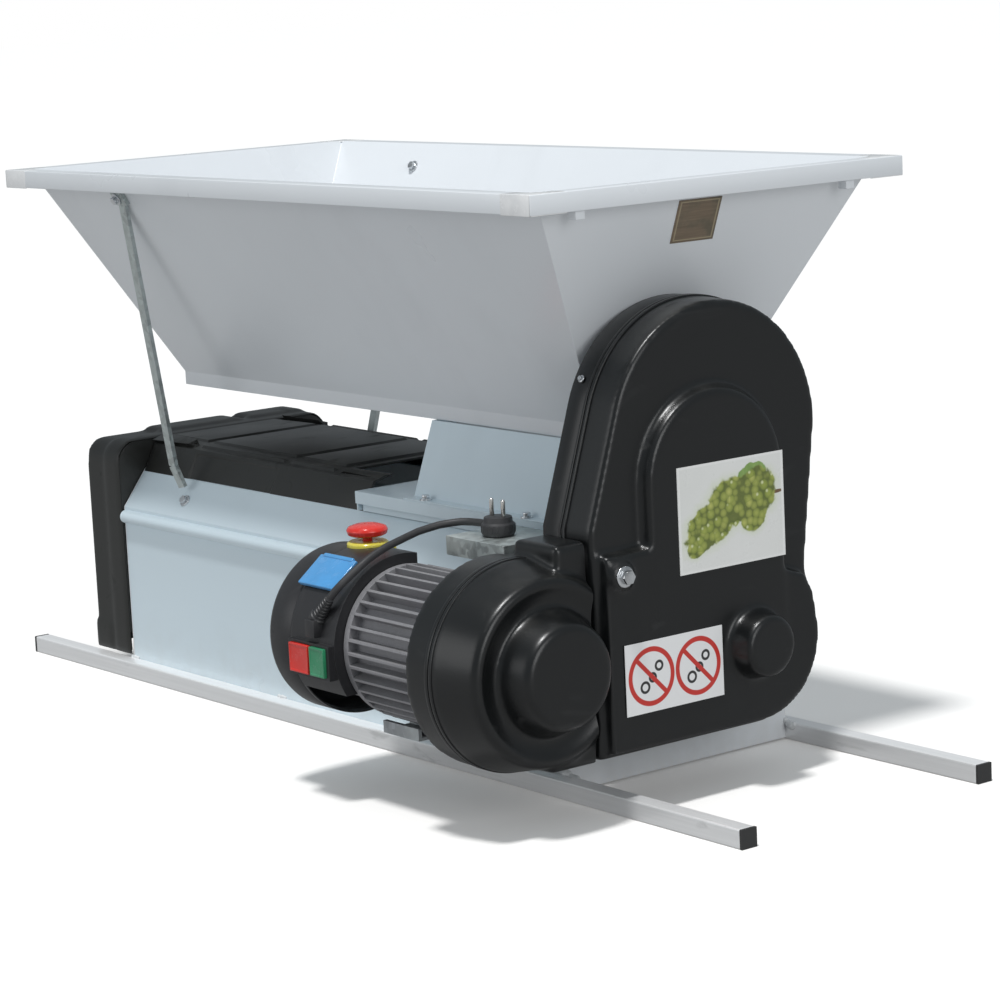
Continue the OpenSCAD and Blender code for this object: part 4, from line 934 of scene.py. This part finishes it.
class CRUSHER_OT_belt_cover(bpy.types.Operator):
    """Moulds the two halves of the belt cover, with its raised arch, boss and bolt lug"""

    bl_idname = "crusher.belt_cover"
    bl_label = "Belt cover"

    def execute(self, context):
        cover = context.scene.crusher_covers
        bm = bmesh.new()
        add_prism(bm, cover_outline(0), SPLIT_X, FACE_X, cover.draft)
        inner_y = INNER_ARCH[0]
        raised = [(inner_y - INNER_R, LOW_ARC[1])] + arc(INNER_ARCH, INNER_R, 180, 0, 24)
        raised += [(inner_y + INNER_R, LOW_ARC[1])]
        add_prism(bm, raised, FACE_X - SUNK, RAISED_X, 0.94)
        low_box = [(BACK_LOW.y + 7, BACK_LOW.z + 7), (BACK_LOW.y + 7, SHOULDER_Z - 22),
                   (INNER_ARCH[0] - INNER_R + 40, SHOULDER_Z - 22), (NOTCH[0] - 12, NOTCH[1] + 4)]
        low_box += [(LOW_SHOULDER[0] - 7, LOW_SHOULDER[1])]
        low_box += arc(LOW_ARC, LOW_R - 6, 12, -90, 16)
        add_prism(bm, low_box, FACE_X - SUNK, RAISED_X - 1, 0.985)
        boss = [(RAISED_X - SUNK, 0), (RAISED_X - SUNK, 37), (RAISED_X + 28, 31), (RAISED_X + 28, 0)]
        add_turned(bm, boss, BEATER_AXIS)
        lug = [(SPLIT_X + 6, 0), (SPLIT_X + 6, 17), (RAISED_X + 6, 14), (RAISED_X + 6, 0)]
        add_turned(bm, lug, LUG)
        skin = moulded(bm, cover.grid, cover.softness)
        open_shell(skin, [((SPLIT_X + 1, 0, 0), (-1, 0, 0))], cover.wall)
        publish(skin, "belt_cover_front", "frame", "black_cover", ["belt_cover"], sharp=60)

        bm = bmesh.new()
        ring(bm, 0, BACK_LOW.x, SPLIT_X - 4, cover.wall)
        ring(bm, -1.5, SPLIT_X - 4.2, SPLIT_X - 0.5, cover.wall + 1.5)
        ring(bm, -1.5, SPLIT_X + 0.5, SPLIT_X + 5, cover.wall + 1.5)
        round_edges(bm, 0.9, 2, 50)
        publish(bm, "belt_cover_back", "frame", "black_cover", ["cover_back_shell"])
        return {"FINISHED"}


def ring(bm, inset, x0, x1, wall):
    """A band that follows the belt cover's outline."""
    outer = cover_outline(inset)
    inner = cover_outline(inset + wall)
    loops = []
    for x, outline in ((x0, outer), (x1, outer), (x1, inner), (x0, inner)):
        loops.append([bm.verts.new((x, y, z)) for y, z in outline])
    for first, second in zip(loops, loops[1:] + loops[:1]):
        for i in range(len(first)):
            j = (i + 1) % len(first)
            bm.faces.new((first[i], first[j], second[j], second[i]))


class CRUSHER_OT_motor_cover(bpy.types.Operator):
    """Moulds the round motor cover with its dished face, boss and joining block"""

    bl_idname = "crusher.motor_cover"
    bl_label = "Motor cover"

    def execute(self, context):
        cover = context.scene.crusher_covers
        edge = BACK_LOW.y - 2.6
        start = DRUM_LOW.x
        radius = DRUM_R - 1
        face = FACE_X + 4
        bm = bmesh.new()
        drum = [(start, 0), (start, radius), (SPLIT_X - 3, radius), (face - 2, radius - 12),
                (face + 2, radius - 19), (face - 3, radius - 27), (face - 6, 64), (face + 27, 53),
                (face + 31, 49), (face + 31, 0)]
        add_turned(bm, drum, MOTOR_AXIS, 96)
        add_block(bm, (BACK_LOW.x, MOTOR_AXIS[0], BACK_LOW.z), (face - 6, BACK_LOW.y + 6, 150))
        add_block(bm, (BACK_LOW.x, BACK_LOW.y - 38, 205), (FACE_X - 6, BACK_LOW.y + 6, 282))
        skin = moulded(bm, cover.grid, cover.softness)
        open_shell(skin, [((start + 1, 0, 0), (-1, 0, 0)), ((0, edge, 0), (0, 1, 0))], cover.wall)
        publish(skin, "motor_cover_shell", "frame", "black_cover", ["motor_cover"], sharp=60)

        bm = bmesh.new()
        for x0, x1 in ((SPLIT_X - 17, SPLIT_X - 11.6), (SPLIT_X - 10.4, SPLIT_X - 6)):
            band = [(x0, radius - 4), (x0, DRUM_R), (x1, DRUM_R), (x1, radius - 4)]
            add_turned(bm, band + band[:1], MOTOR_AXIS, 120)
        geom = bm.verts[:] + bm.edges[:] + bm.faces[:]
        bmesh.ops.bisect_plane(bm, geom=geom, dist=1e-4, plane_co=(0, edge, 0), plane_no=(0, 1, 0),
                               clear_outer=True)
        bmesh.ops.holes_fill(bm, edges=[e for e in bm.edges if e.is_boundary], sides=8)
        round_edges(bm, 0.6, 2, 50)
        publish(bm, "motor_cover_bead", "frame", "black_cover")
        return {"FINISHED"}


class CRUSHER_OT_stem_outlet(bpy.types.Operator):
    """Moulds the hood that stems fall out of, with its stepped rim and scalloped top"""

    bl_idname = "crusher.stem_outlet"
    bl_label = "Stem outlet"

    def execute(self, context):
        cover = context.scene.crusher_covers
        low, high = span("stem_outlet")
        bm = bmesh.new()
        half = 154
        top = 287
        step_x = high.x - 34
        hood(bm, low.x, step_x + 4, half - 1, top - 2, 24, low.z)
        hood(bm, step_x, high.x, half + 1.5, top + 1, 26, low.z)
        for y0, y1 in ((-72, 42), (58, 136)):
            add_block(bm, (low.x + 10, y0, top - 12), (high.x - 24, y1, top + 4.5))
        add_block(bm, (low.x - 4.5, -half - 1, low.z), (low.x + 34, half + 1, low.z + 34))
        skin = moulded(bm, cover.grid + 0.4, cover.softness)
        cuts = [((high.x - 1.5, 0, 0), (1, 0, 0)), ((0, 0, low.z + 2), (0, 0, -1))]
        open_shell(skin, cuts, cover.wall)
        publish(skin, "stem_outlet_hood", "frame", "charcoal_cover", ["stem_outlet"], sharp=60)

        bm = bmesh.new()
        outline = hood_outline(half - 1, top - 2, 25, low.z + 30)
        edges = []
        for loop in (outline, circle(BEATER_AXIS, 93)):
            verts = [bm.verts.new((high.x - 4, y, z)) for y, z in loop]
            edges += [bm.edges.new(pair) for pair in zip(verts, verts[1:] + verts[:1])]
        bmesh.ops.triangle_fill(bm, edges=edges, use_beauty=True)
        grown = bmesh.ops.extrude_face_region(bm, geom=bm.faces[:])
        verts = [v for v in grown["geom"] if isinstance(v, bmesh.types.BMVert)]
        bmesh.ops.translate(bm, vec=(2.6, 0, 0), verts=verts)
        round_edges(bm, 0.6, 2, 50)
        publish(bm, "stem_outlet_flange", "frame", "charcoal_cover")
        return {"FINISHED"}


def hood_outline(half, top, corner, bottom):
    """Outline of a block with two round upper corners, across Y and Z."""
    outline = [(half, bottom)] + arc((half - corner, top - corner), corner, 0, 90, 8)
    return outline + arc((corner - half, top - corner), corner, 90, 180, 8) + [(-half, bottom)]


def hood(bm, x0, x1, *shape):
    """A block along X with two round upper corners."""
    add_prism(bm, hood_outline(*shape), x0, x1)


class CRUSHER_OT_stem_cover(bpy.types.Operator):
    """Presses the cover over the beater cage, with its raised panels and vent slot"""

    bl_idname = "crusher.stem_cover"
    bl_label = "Stem cover"

    def execute(self, context):
        cover = context.scene.crusher_covers
        low, high = span("stem_cover")
        foot, top_half, top = 120, 100, 287
        vent = 438  # X at which the open vent starts
        bm = bmesh.new()
        sections = ((low.x, top), (150, top + 1), (low.x + 280, top), (vent, top - 1), (high.x, top - 1))
        loops = []
        for x, crest in sections:
            outline = [(-foot, low.z), (-top_half - 3, crest - 5), (-top_half + 14, crest),
                       (top_half - 14, crest), (top_half + 3, crest - 5), (foot, low.z)]
            loops.append([bm.verts.new((x, y, z)) for y, z in outline])
        for first, second in zip(loops, loops[1:]):
            for i in range(len(first) - 1):
                bm.faces.new((first[i], second[i], second[i + 1], first[i + 1]))
        bmesh.ops.recalc_face_normals(bm, faces=bm.faces)
        flip = [f for f in bm.faces if f.calc_center_median().z > 280 and f.normal.z < 0]
        if flip:
            bmesh.ops.reverse_faces(bm, faces=bm.faces[:])
        tops = [f for f in bm.faces if f.normal.z > 0.95]
        panels = [f for f in tops if f.calc_center_median().x < vent]
        for face in set(tops) - set(panels):
            bmesh.ops.inset_region(bm, faces=[face], thickness=9)
            bmesh.ops.delete(bm, geom=[face], context="FACES")
        for face in panels:
            bmesh.ops.inset_region(bm, faces=[face], thickness=8)
            bmesh.ops.inset_region(bm, faces=[face], thickness=3.5, depth=2.6)
        slopes = [f for f in bm.faces if 0.05 < abs(f.normal.y) and f.calc_area() > 6000]
        for face in slopes:
            bmesh.ops.inset_region(bm, faces=[face], thickness=6)
            bmesh.ops.inset_region(bm, faces=[face], thickness=3, depth=-1.6)
        bmesh.ops.translate(bm, vec=(0, 0, -2.2), verts=bm.verts)
        thicken(bm, cover.wall)
        for vert in bm.verts:
            vert.co.z = max(vert.co.z, low.z)
        round_edges(bm, 1.1, 2, 22)
        publish(bm, "stem_cover_lid", "frame", "charcoal_cover", ["stem_cover"], sharp=50)
        return {"FINISHED"}


# How far the hopper's walls lean out for each millimetre of rise: front, then both ends
FRONT_RUN = 0.577
END_RUN = (0.33, 0.40)


class CRUSHER_OT_hopper(bpy.types.Operator):
    """Folds the hopper from sheet with rounded bends and small tabs under the rim"""

    bl_idname = "crusher.hopper"
    bl_label = "Hopper"

    def execute(self, context):
        sheet = context.scene.crusher_sheet
        low, high = RIM_LOW, RIM_HIGH
        rim_length, lip, apron, throat = 1000, 18, 16, 82
        half = high.y - 0.6
        top = high.z - 0.7
        fold = top - lip
        crease = low.z + apron
        left = 28 + END_RUN[0] * (fold - crease)
        right = 976 - END_RUN[1] * (fold - crease)

        def level(z):
            """Where the end walls and the front wall stand at a height."""
            rise = z - crease
            return left - END_RUN[0] * rise, right + END_RUN[1] * rise, throat + FRONT_RUN * rise

        bm = bmesh.new()
        rows = [(0, rim_length, half, fold), (0, rim_length, half, top), (*level(top), top)]
        rows += [(*level(crease), z) for z in (crease, low.z)]
        loops = []
        for a, b, y, z in rows:
            loops.append([bm.verts.new(p) for p in ((a, -y, z), (b, -y, z), (b, y, z), (a, y, z))])
        for first, second in zip(loops, loops[1:]):
            for i in range(4):
                j = (i + 1) % 4
                bm.faces.new((first[i], first[j], second[j], second[i]))
        floor_x = 616
        floor = [bm.verts.new((floor_x, y, low.z)) for y in (-throat, throat)]
        bm.faces.new((loops[-1][0], floor[0], floor[1], loops[-1][3]))
        bmesh.ops.recalc_face_normals(bm, faces=bm.faces)
        bottom = min(bm.faces, key=lambda f: f.calc_center_median().z)
        if bottom.normal.z > 0:
            bmesh.ops.reverse_faces(bm, faces=bm.faces[:])
        bmesh.ops.solidify(bm, geom=bm.faces[:], thickness=sheet.sheet)
        round_edges(bm, sheet.bend, 3, 20)
        for y in (-190, 170):
            tab = add_block(bm, (986, y, fold - 9), (998, y + 12, top - 3))
            edges = list({e for v in tab for e in v.link_edges})
            bmesh.ops.bevel(bm, geom=edges, offset=1, segments=2, profile=0.5, affect="EDGES", material=-1)
        publish(bm, "hopper_body", "frame", "white_paint", ["hopper"])
        return {"FINISHED"}


class CRUSHER_OT_corner_guards(bpy.types.Operator):
    """Moulds the white guards that clip over the corners of the hopper's rim"""

    bl_idname = "crusher.corner_guards"
    bl_label = "Corner guards"

    def execute(self, context):
        low, high = span("hopper_corner_caps")
        side, lip, depth = 46, 21, 21
        bm = bmesh.new()
        for x, sx in ((low.x, 1), (high.x, -1)):
            for y, sy in ((low.y, 1), (high.y, -1)):
                corner = [(0, 0), (side, 0), (side, lip), (lip + 9, lip), (lip, lip + 9), (lip, side),
                          (0, side)]
                points = [(x + sx * a, y + sy * b) for a, b in corner]
                face = bm.faces.new([bm.verts.new((px, py, high.z)) for px, py in points])
                grown = bmesh.ops.extrude_face_region(bm, geom=[face])
                verts = [v for v in grown["geom"] if isinstance(v, bmesh.types.BMVert)]
                bmesh.ops.translate(bm, vec=(0, 0, -1.6), verts=verts)
                for a0, a1, b0, b1 in ((0, side, 0, 1.6), (0, 1.6, 0, side)):
                    xs = sorted((x + sx * a0, x + sx * a1))
                    ys = sorted((y + sy * b0, y + sy * b1))
                    add_block(bm, (xs[0], ys[0], high.z - depth), (xs[1], ys[1], high.z - 0.4))
        round_edges(bm, 0.7, 3)
        publish(bm, "rim_corner_guards", "frame", "white_plastic", ["hopper_corner_caps"])
        return {"FINISHED"}


def add_bolt(bm, at, direction, radius, washer=1.5):
    """Hexagon bolt with a chamfered head and a round washer under it."""
    place = aim(at, direction)
    disc = [(0, 0), (0, radius * washer), (1.1, radius * washer), (1.5, radius * washer - 0.4), (1.5, 0)]
    add_turned(bm, disc, (0, 0), 28, place)
    height = radius * 0.9
    head = bmesh.ops.create_cone(bm, cap_ends=True, segments=6, radius1=radius, radius2=radius,
                                 depth=height, matrix=Matrix.Identity(4))
    stand = place @ Matrix.Rotation(math.pi / 2, 4, "Y") @ Matrix.Translation((0, 0, 1.5 + height / 2))
    bmesh.ops.transform(bm, matrix=stand, verts=head["verts"])
    dome = [(1.5, 0), (1.5, radius * 0.84), (1.5 + height * 0.98, radius * 0.82),
            (1.5 + height * 1.02, radius * 0.6), (1.5 + height * 1.02, 0)]
    add_turned(bm, dome, (0, 0), 24, place)


def wall_point(x, z, out):
    """A point on the hopper's front wall, and that wall's outward direction."""
    tilt = math.atan(FRONT_RUN)
    direction = Vector((0, -math.cos(tilt), -math.sin(tilt)))
    return Vector((x, -82 - FRONT_RUN * (z - 370), z)) + direction * out, direction


# Where the struts end: X and Z on the hopper's wall, and the low edge of the casing's slope
STRUT_TOP = (196, 595)
SLOPE_FOOT = (176, -151, 208)
CHUTE_BOLTS_X = (640, 815)


class CRUSHER_OT_bolts(bpy.types.Operator):
    """Sets the bolts of the struts, chute and covers, and the small cover screws"""

    bl_idname = "crusher.bolts"
    bl_label = "Bolts"

    def execute(self, context):
        bm = bmesh.new()
        slope = Vector((0, 40, 31)).normalized()
        along, out = Vector((0, slope.z, slope.y)), Vector((0, -slope.y, slope.z))
        foot = Vector(SLOPE_FOOT) + along * 22 + out * 0.1
        for side in (1, -1):
            mirror = Matrix.Diagonal((1, side, 1))
            at, direction = wall_point(*STRUT_TOP, 5.3)
            back, _ = wall_point(*STRUT_TOP, -2.1)
            add_bolt(bm, mirror @ foot, mirror @ out, 5)
            add_bolt(bm, mirror @ at, mirror @ direction, 5)
            add_bolt(bm, mirror @ back, mirror @ -direction, 5)
            for x in CHUTE_BOLTS_X:
                add_bolt(bm, (x, side * 123.2, 274), (0, 0, 1), 4.5)
        round_edges(bm, 0.3, 1, 40)
        publish(bm, "sheet_metal_bolts", "frame", "zinc_bolts", ["frame_bolts"])

        bm = bmesh.new()
        add_bolt(bm, (RAISED_X + 5.5, *LUG), (1, 0, 0), 7.4, 1.45)
        for y, z, direction in ((-150.5, 432, (0, -0.9, 0.5)), (BACK_LOW.y, 262, (0, -1, 0))):
            add_bolt(bm, (BACK_LOW.x + 13, y, z), direction, 2.6)
        round_edges(bm, 0.25, 1, 40)
        publish(bm, "cover_bolts", "frame", "zinc_bolts", ["cover_fasteners"])
        return {"FINISHED"}


# Radius of the emergency button's stem, and how far the flap is turned from upright, in degrees
STEM_R = 5
FLAP_ANGLE = 38


class CRUSHER_OT_switchgear(bpy.types.Operator):
    """Moulds the start, stop and emergency buttons, the blue flap and the yellow collar"""

    bl_idname = "crusher.switchgear"
    bl_label = "Switchgear"

    def execute(self, context):
        for node, body, slot in (("stop_button", "stop_key", "red_plastic"),
                                 ("start_button", "start_key", "green_plastic")):
            low, high = span(node)
            bm = bmesh.new()
            add_block(bm, low, high)
            face = min(bm.faces, key=lambda f: f.calc_center_median().y)
            bmesh.ops.inset_region(bm, faces=[face], thickness=2.4)
            bmesh.ops.inset_region(bm, faces=[face], thickness=1.2, depth=-0.7)
            round_edges(bm, 0.5, 2)
            publish(bm, node + "_cap", body, slot, [node])

        low, high = span("emergency_button")
        middle = ((low.x + high.x) / 2, (low.y + high.y) / 2)
        bm = bmesh.new()
        cap_height = 12.5
        cap = high.z - cap_height - low.z
        dome = ((0, STEM_R), (0, 17), (1.5, 20.6), (6, 22), (9.4, 20), (11.8, 13), (cap_height, 6),
                (cap_height, 0))
        profile = [(0, 0), (0, STEM_R)] + [(cap + z, r) for z, r in dome]
        add_turned(bm, profile, (0, 0), 56, aim((middle[0], middle[1], low.z), (0, 0, 1)))
        round_edges(bm, 0.8, 3, 24)
        publish(bm, "emergency_mushroom", "emergency_key", "red_plastic", ["emergency_button"])

        bm = bmesh.new()
        low, high = span("switch_flap")
        turn = Matrix.Rotation(math.radians(FLAP_ANGLE), 4, "X")
        axis = Vector((0, *MOTOR_AXIS))
        plate = add_block(bm, (low.x + 5, -20, 89), (high.x - 6, 20, 94))
        hinge = add_block(bm, (low.x + 11, 17, 88), (high.x - 12, 22, 95))
        bmesh.ops.transform(bm, matrix=Matrix.Translation(axis) @ turn, verts=plate + hinge)
        round_edges(bm, 1.2, 3)
        publish(bm, "switch_cover_flap", "frame", "blue_plastic", ["switch_flap"])

        bm = bmesh.new()
        low, high = span("stop_switch_base")
        ring_low = high.z - 8
        bore = STEM_R + 0.1
        profile = [(ring_low, bore), (ring_low, 22), (high.z - 2, 22), (high.z, 20), (high.z, bore),
                   (ring_low, bore)]
        add_turned(bm, profile, (0, 0), 48, aim((middle[0], middle[1], 0), (0, 0, 1)))
        add_block(bm, (middle[0] + 6, middle[1] - 25, ring_low - 6),
                  (middle[0] + 20, middle[1] + 22, ring_low + 1))
        round_edges(bm, 0.5, 2)
        publish(bm, "emergency_collar", "frame", "yellow_plastic", ["stop_switch_base"])
        return {"FINISHED"}


class CRUSHER_OT_cowl(bpy.types.Operator):
    """Presses the fan cowl with round shoulders and radial air slots"""

    bl_idname = "crusher.cowl"
    bl_label = "Fan cowl"

    def execute(self, context):
        low, high = span("fan_cowl")
        radius = (high.z - low.z) / 2
        bm = bmesh.new()
        rings = [(low.x, r) for r in (0, 12, 22, 34, 46, 58, 68)]
        profile = rings + [(low.x + 1.5, radius - 6), (low.x + 6, radius - 1.2), (low.x + 10, radius),
                           (high.x - 8, radius), (high.x - 6, radius - 1), (high.x - 4, radius),
                           (high.x, radius)]
        add_turned(bm, profile, MOTOR_AXIS, 96)
        slots = []
        for face in bm.faces:
            middle = face.calc_center_median() - Vector((0, *MOTOR_AXIS))
            reach = math.hypot(middle.y, middle.z)
            angle = math.degrees(math.atan2(middle.z, middle.y)) % 30
            if middle.x < low.x + 0.5 and 22 < reach < 68 and angle < 15:
                slots.append(face)
        bmesh.ops.delete(bm, geom=slots, context="FACES")
        bmesh.ops.recalc_face_normals(bm, faces=bm.faces)
        end = max(bm.faces, key=lambda f: f.calc_center_median().z)
        if end.normal.z < 0:
            bmesh.ops.reverse_faces(bm, faces=bm.faces[:])
        thicken(bm, 1.6)
        round_edges(bm, 0.4, 2, 50)
        publish(bm, "fan_cowl_shell", "frame", "black_plastic", ["fan_cowl"], sharp=45)
        return {"FINISHED"}


# Where the short welds between the casing and the rails stand
WELDS_X = (60, 380, 700, 892)


class CRUSHER_OT_welds(bpy.types.Operator):
    """Runs weld beads where the casing meets the rails, with longer ones at the drive end"""

    bl_idname = "crusher.welds"
    bl_label = "Welds"

    def execute(self, context):
        bm = bmesh.new()
        for side in (-1, 1):
            for x in WELDS_X:
                for i in range(5):
                    size = 2.4 + 0.5 * math.sin(i * 2.1 + x)
                    place = Matrix.Translation((x + i * 3.2 - 6, side * 151.5, 20.6))
                    bmesh.ops.create_icosphere(bm, subdivisions=2, radius=size, matrix=place)
            for i in range(7):
                size = 4.2 + 1.2 * math.sin(i * 1.7)
                place = Matrix.Translation((893 + i * 3.4, side * 151, 19 + 2.2 * math.sin(i)))
                bmesh.ops.create_icosphere(bm, subdivisions=2, radius=size, matrix=place)
        beads = weld_metal("weld_metal", (0.8, 0.82, 0.83)).material
        publish(bm, "weld_beads", "frame", "white_paint", material=beads)
        return {"FINISHED"}


class CRUSHER_OT_finish_nodes(bpy.types.Operator):
    """Gives every CAD node its material, and softens the edges of those that show"""

    bl_idname = "crusher.finish_nodes"
    bl_label = "Finish nodes"

    SOFT = {
        "rail_front": 1.6, "rail_rear": 1.6, "rail_end_caps": 0.8, "body_front_panel": 0.5,
        "body_rear_panel": 0.5, "stem_end_plate": 0.5, "drive_end_plate": 0.6, "crusher_box": 0.6,
        "feed_chute": 0.6, "strut_front": 1.2, "strut_rear": 1.2, "rating_plate": 0.3,
        "transmission_plate": 0.6, "motor_body": 0.45, "motor_end_shield": 1.2, "motor_cradle": 0.8,
        "motor_tie_bracket": 1.4, "switch_box": 1.6, "plate_spacers": 0.6, "flange_bearings": 0.6,
        "rotor_end_bearing": 0.8, "drive_roller": 0.6, "idle_roller": 0.6, "beater_pins": 0.6,
        "beater_pulleys": 0.5, "roller_pulley": 0.5, "motor_pulley": 0.5, "cooling_fan": 0.5,
    }
    # Parts that take the white paint with a painted bluish tint of sky light
    CASING = ("body_front_panel", "body_rear_panel", "feed_chute", "crusher_box")

    def execute(self, context):
        for part in frame["record"]["subparts"]:
            name = part["node"]
            slot = "casing_white_painted_sky_tint" if name in self.CASING else part["material_slot"]
            mesh = NODES[name].data
            mesh.materials.clear()
            mesh.materials.append(finish_of(slot))
        for name, width in self.SOFT.items():
            soften(name, width)
        return {"FINISHED"}


# ---------- panel and registration ----------
class CRUSHER_PT_panel(bpy.types.Panel):
    """Lists the pieces and their settings"""

    bl_idname = "CRUSHER_PT_panel"
    bl_label = "Grape Crusher Destemmer"
    bl_space_type = "VIEW_3D"
    bl_region_type = "UI"
    bl_category = "Crusher"

    def draw(self, context):
        for step in STEPS:
            self.layout.operator(step.bl_idname)
        for name in SETTINGS:
            box = self.layout.box()
            group = getattr(context.scene, name)
            for key in group.__annotations__:
                box.prop(group, key)


SETTINGS = {
    "crusher_stage": StageSettings,
    "crusher_covers": CoverSettings,
    "crusher_sheet": SheetSettings,
    "crusher_cord": CordSettings,
}
STEPS = (
    CRUSHER_OT_stage, CRUSHER_OT_cord, CRUSHER_OT_belt_cover, CRUSHER_OT_motor_cover,
    CRUSHER_OT_stem_outlet, CRUSHER_OT_stem_cover, CRUSHER_OT_hopper, CRUSHER_OT_corner_guards,
    CRUSHER_OT_bolts, CRUSHER_OT_switchgear, CRUSHER_OT_cowl, CRUSHER_OT_welds,
    CRUSHER_OT_finish_nodes,
)


def register():
    for cls in (*SETTINGS.values(), *STEPS, CRUSHER_PT_panel):
        bpy.utils.register_class(cls)
    for name, group in SETTINGS.items():
        setattr(bpy.types.Scene, name, bpy.props.PointerProperty(type=group))


def unregister():
    for name in SETTINGS:
        delattr(bpy.types.Scene, name)
    for cls in reversed((*SETTINGS.values(), *STEPS, CRUSHER_PT_panel)):
        bpy.utils.unregister_class(cls)


def main():
    register()
    for step in STEPS:
        area, name = step.bl_idname.split(".")
        getattr(getattr(bpy.ops, area), name)()


if __name__ == "__main__":
    main()
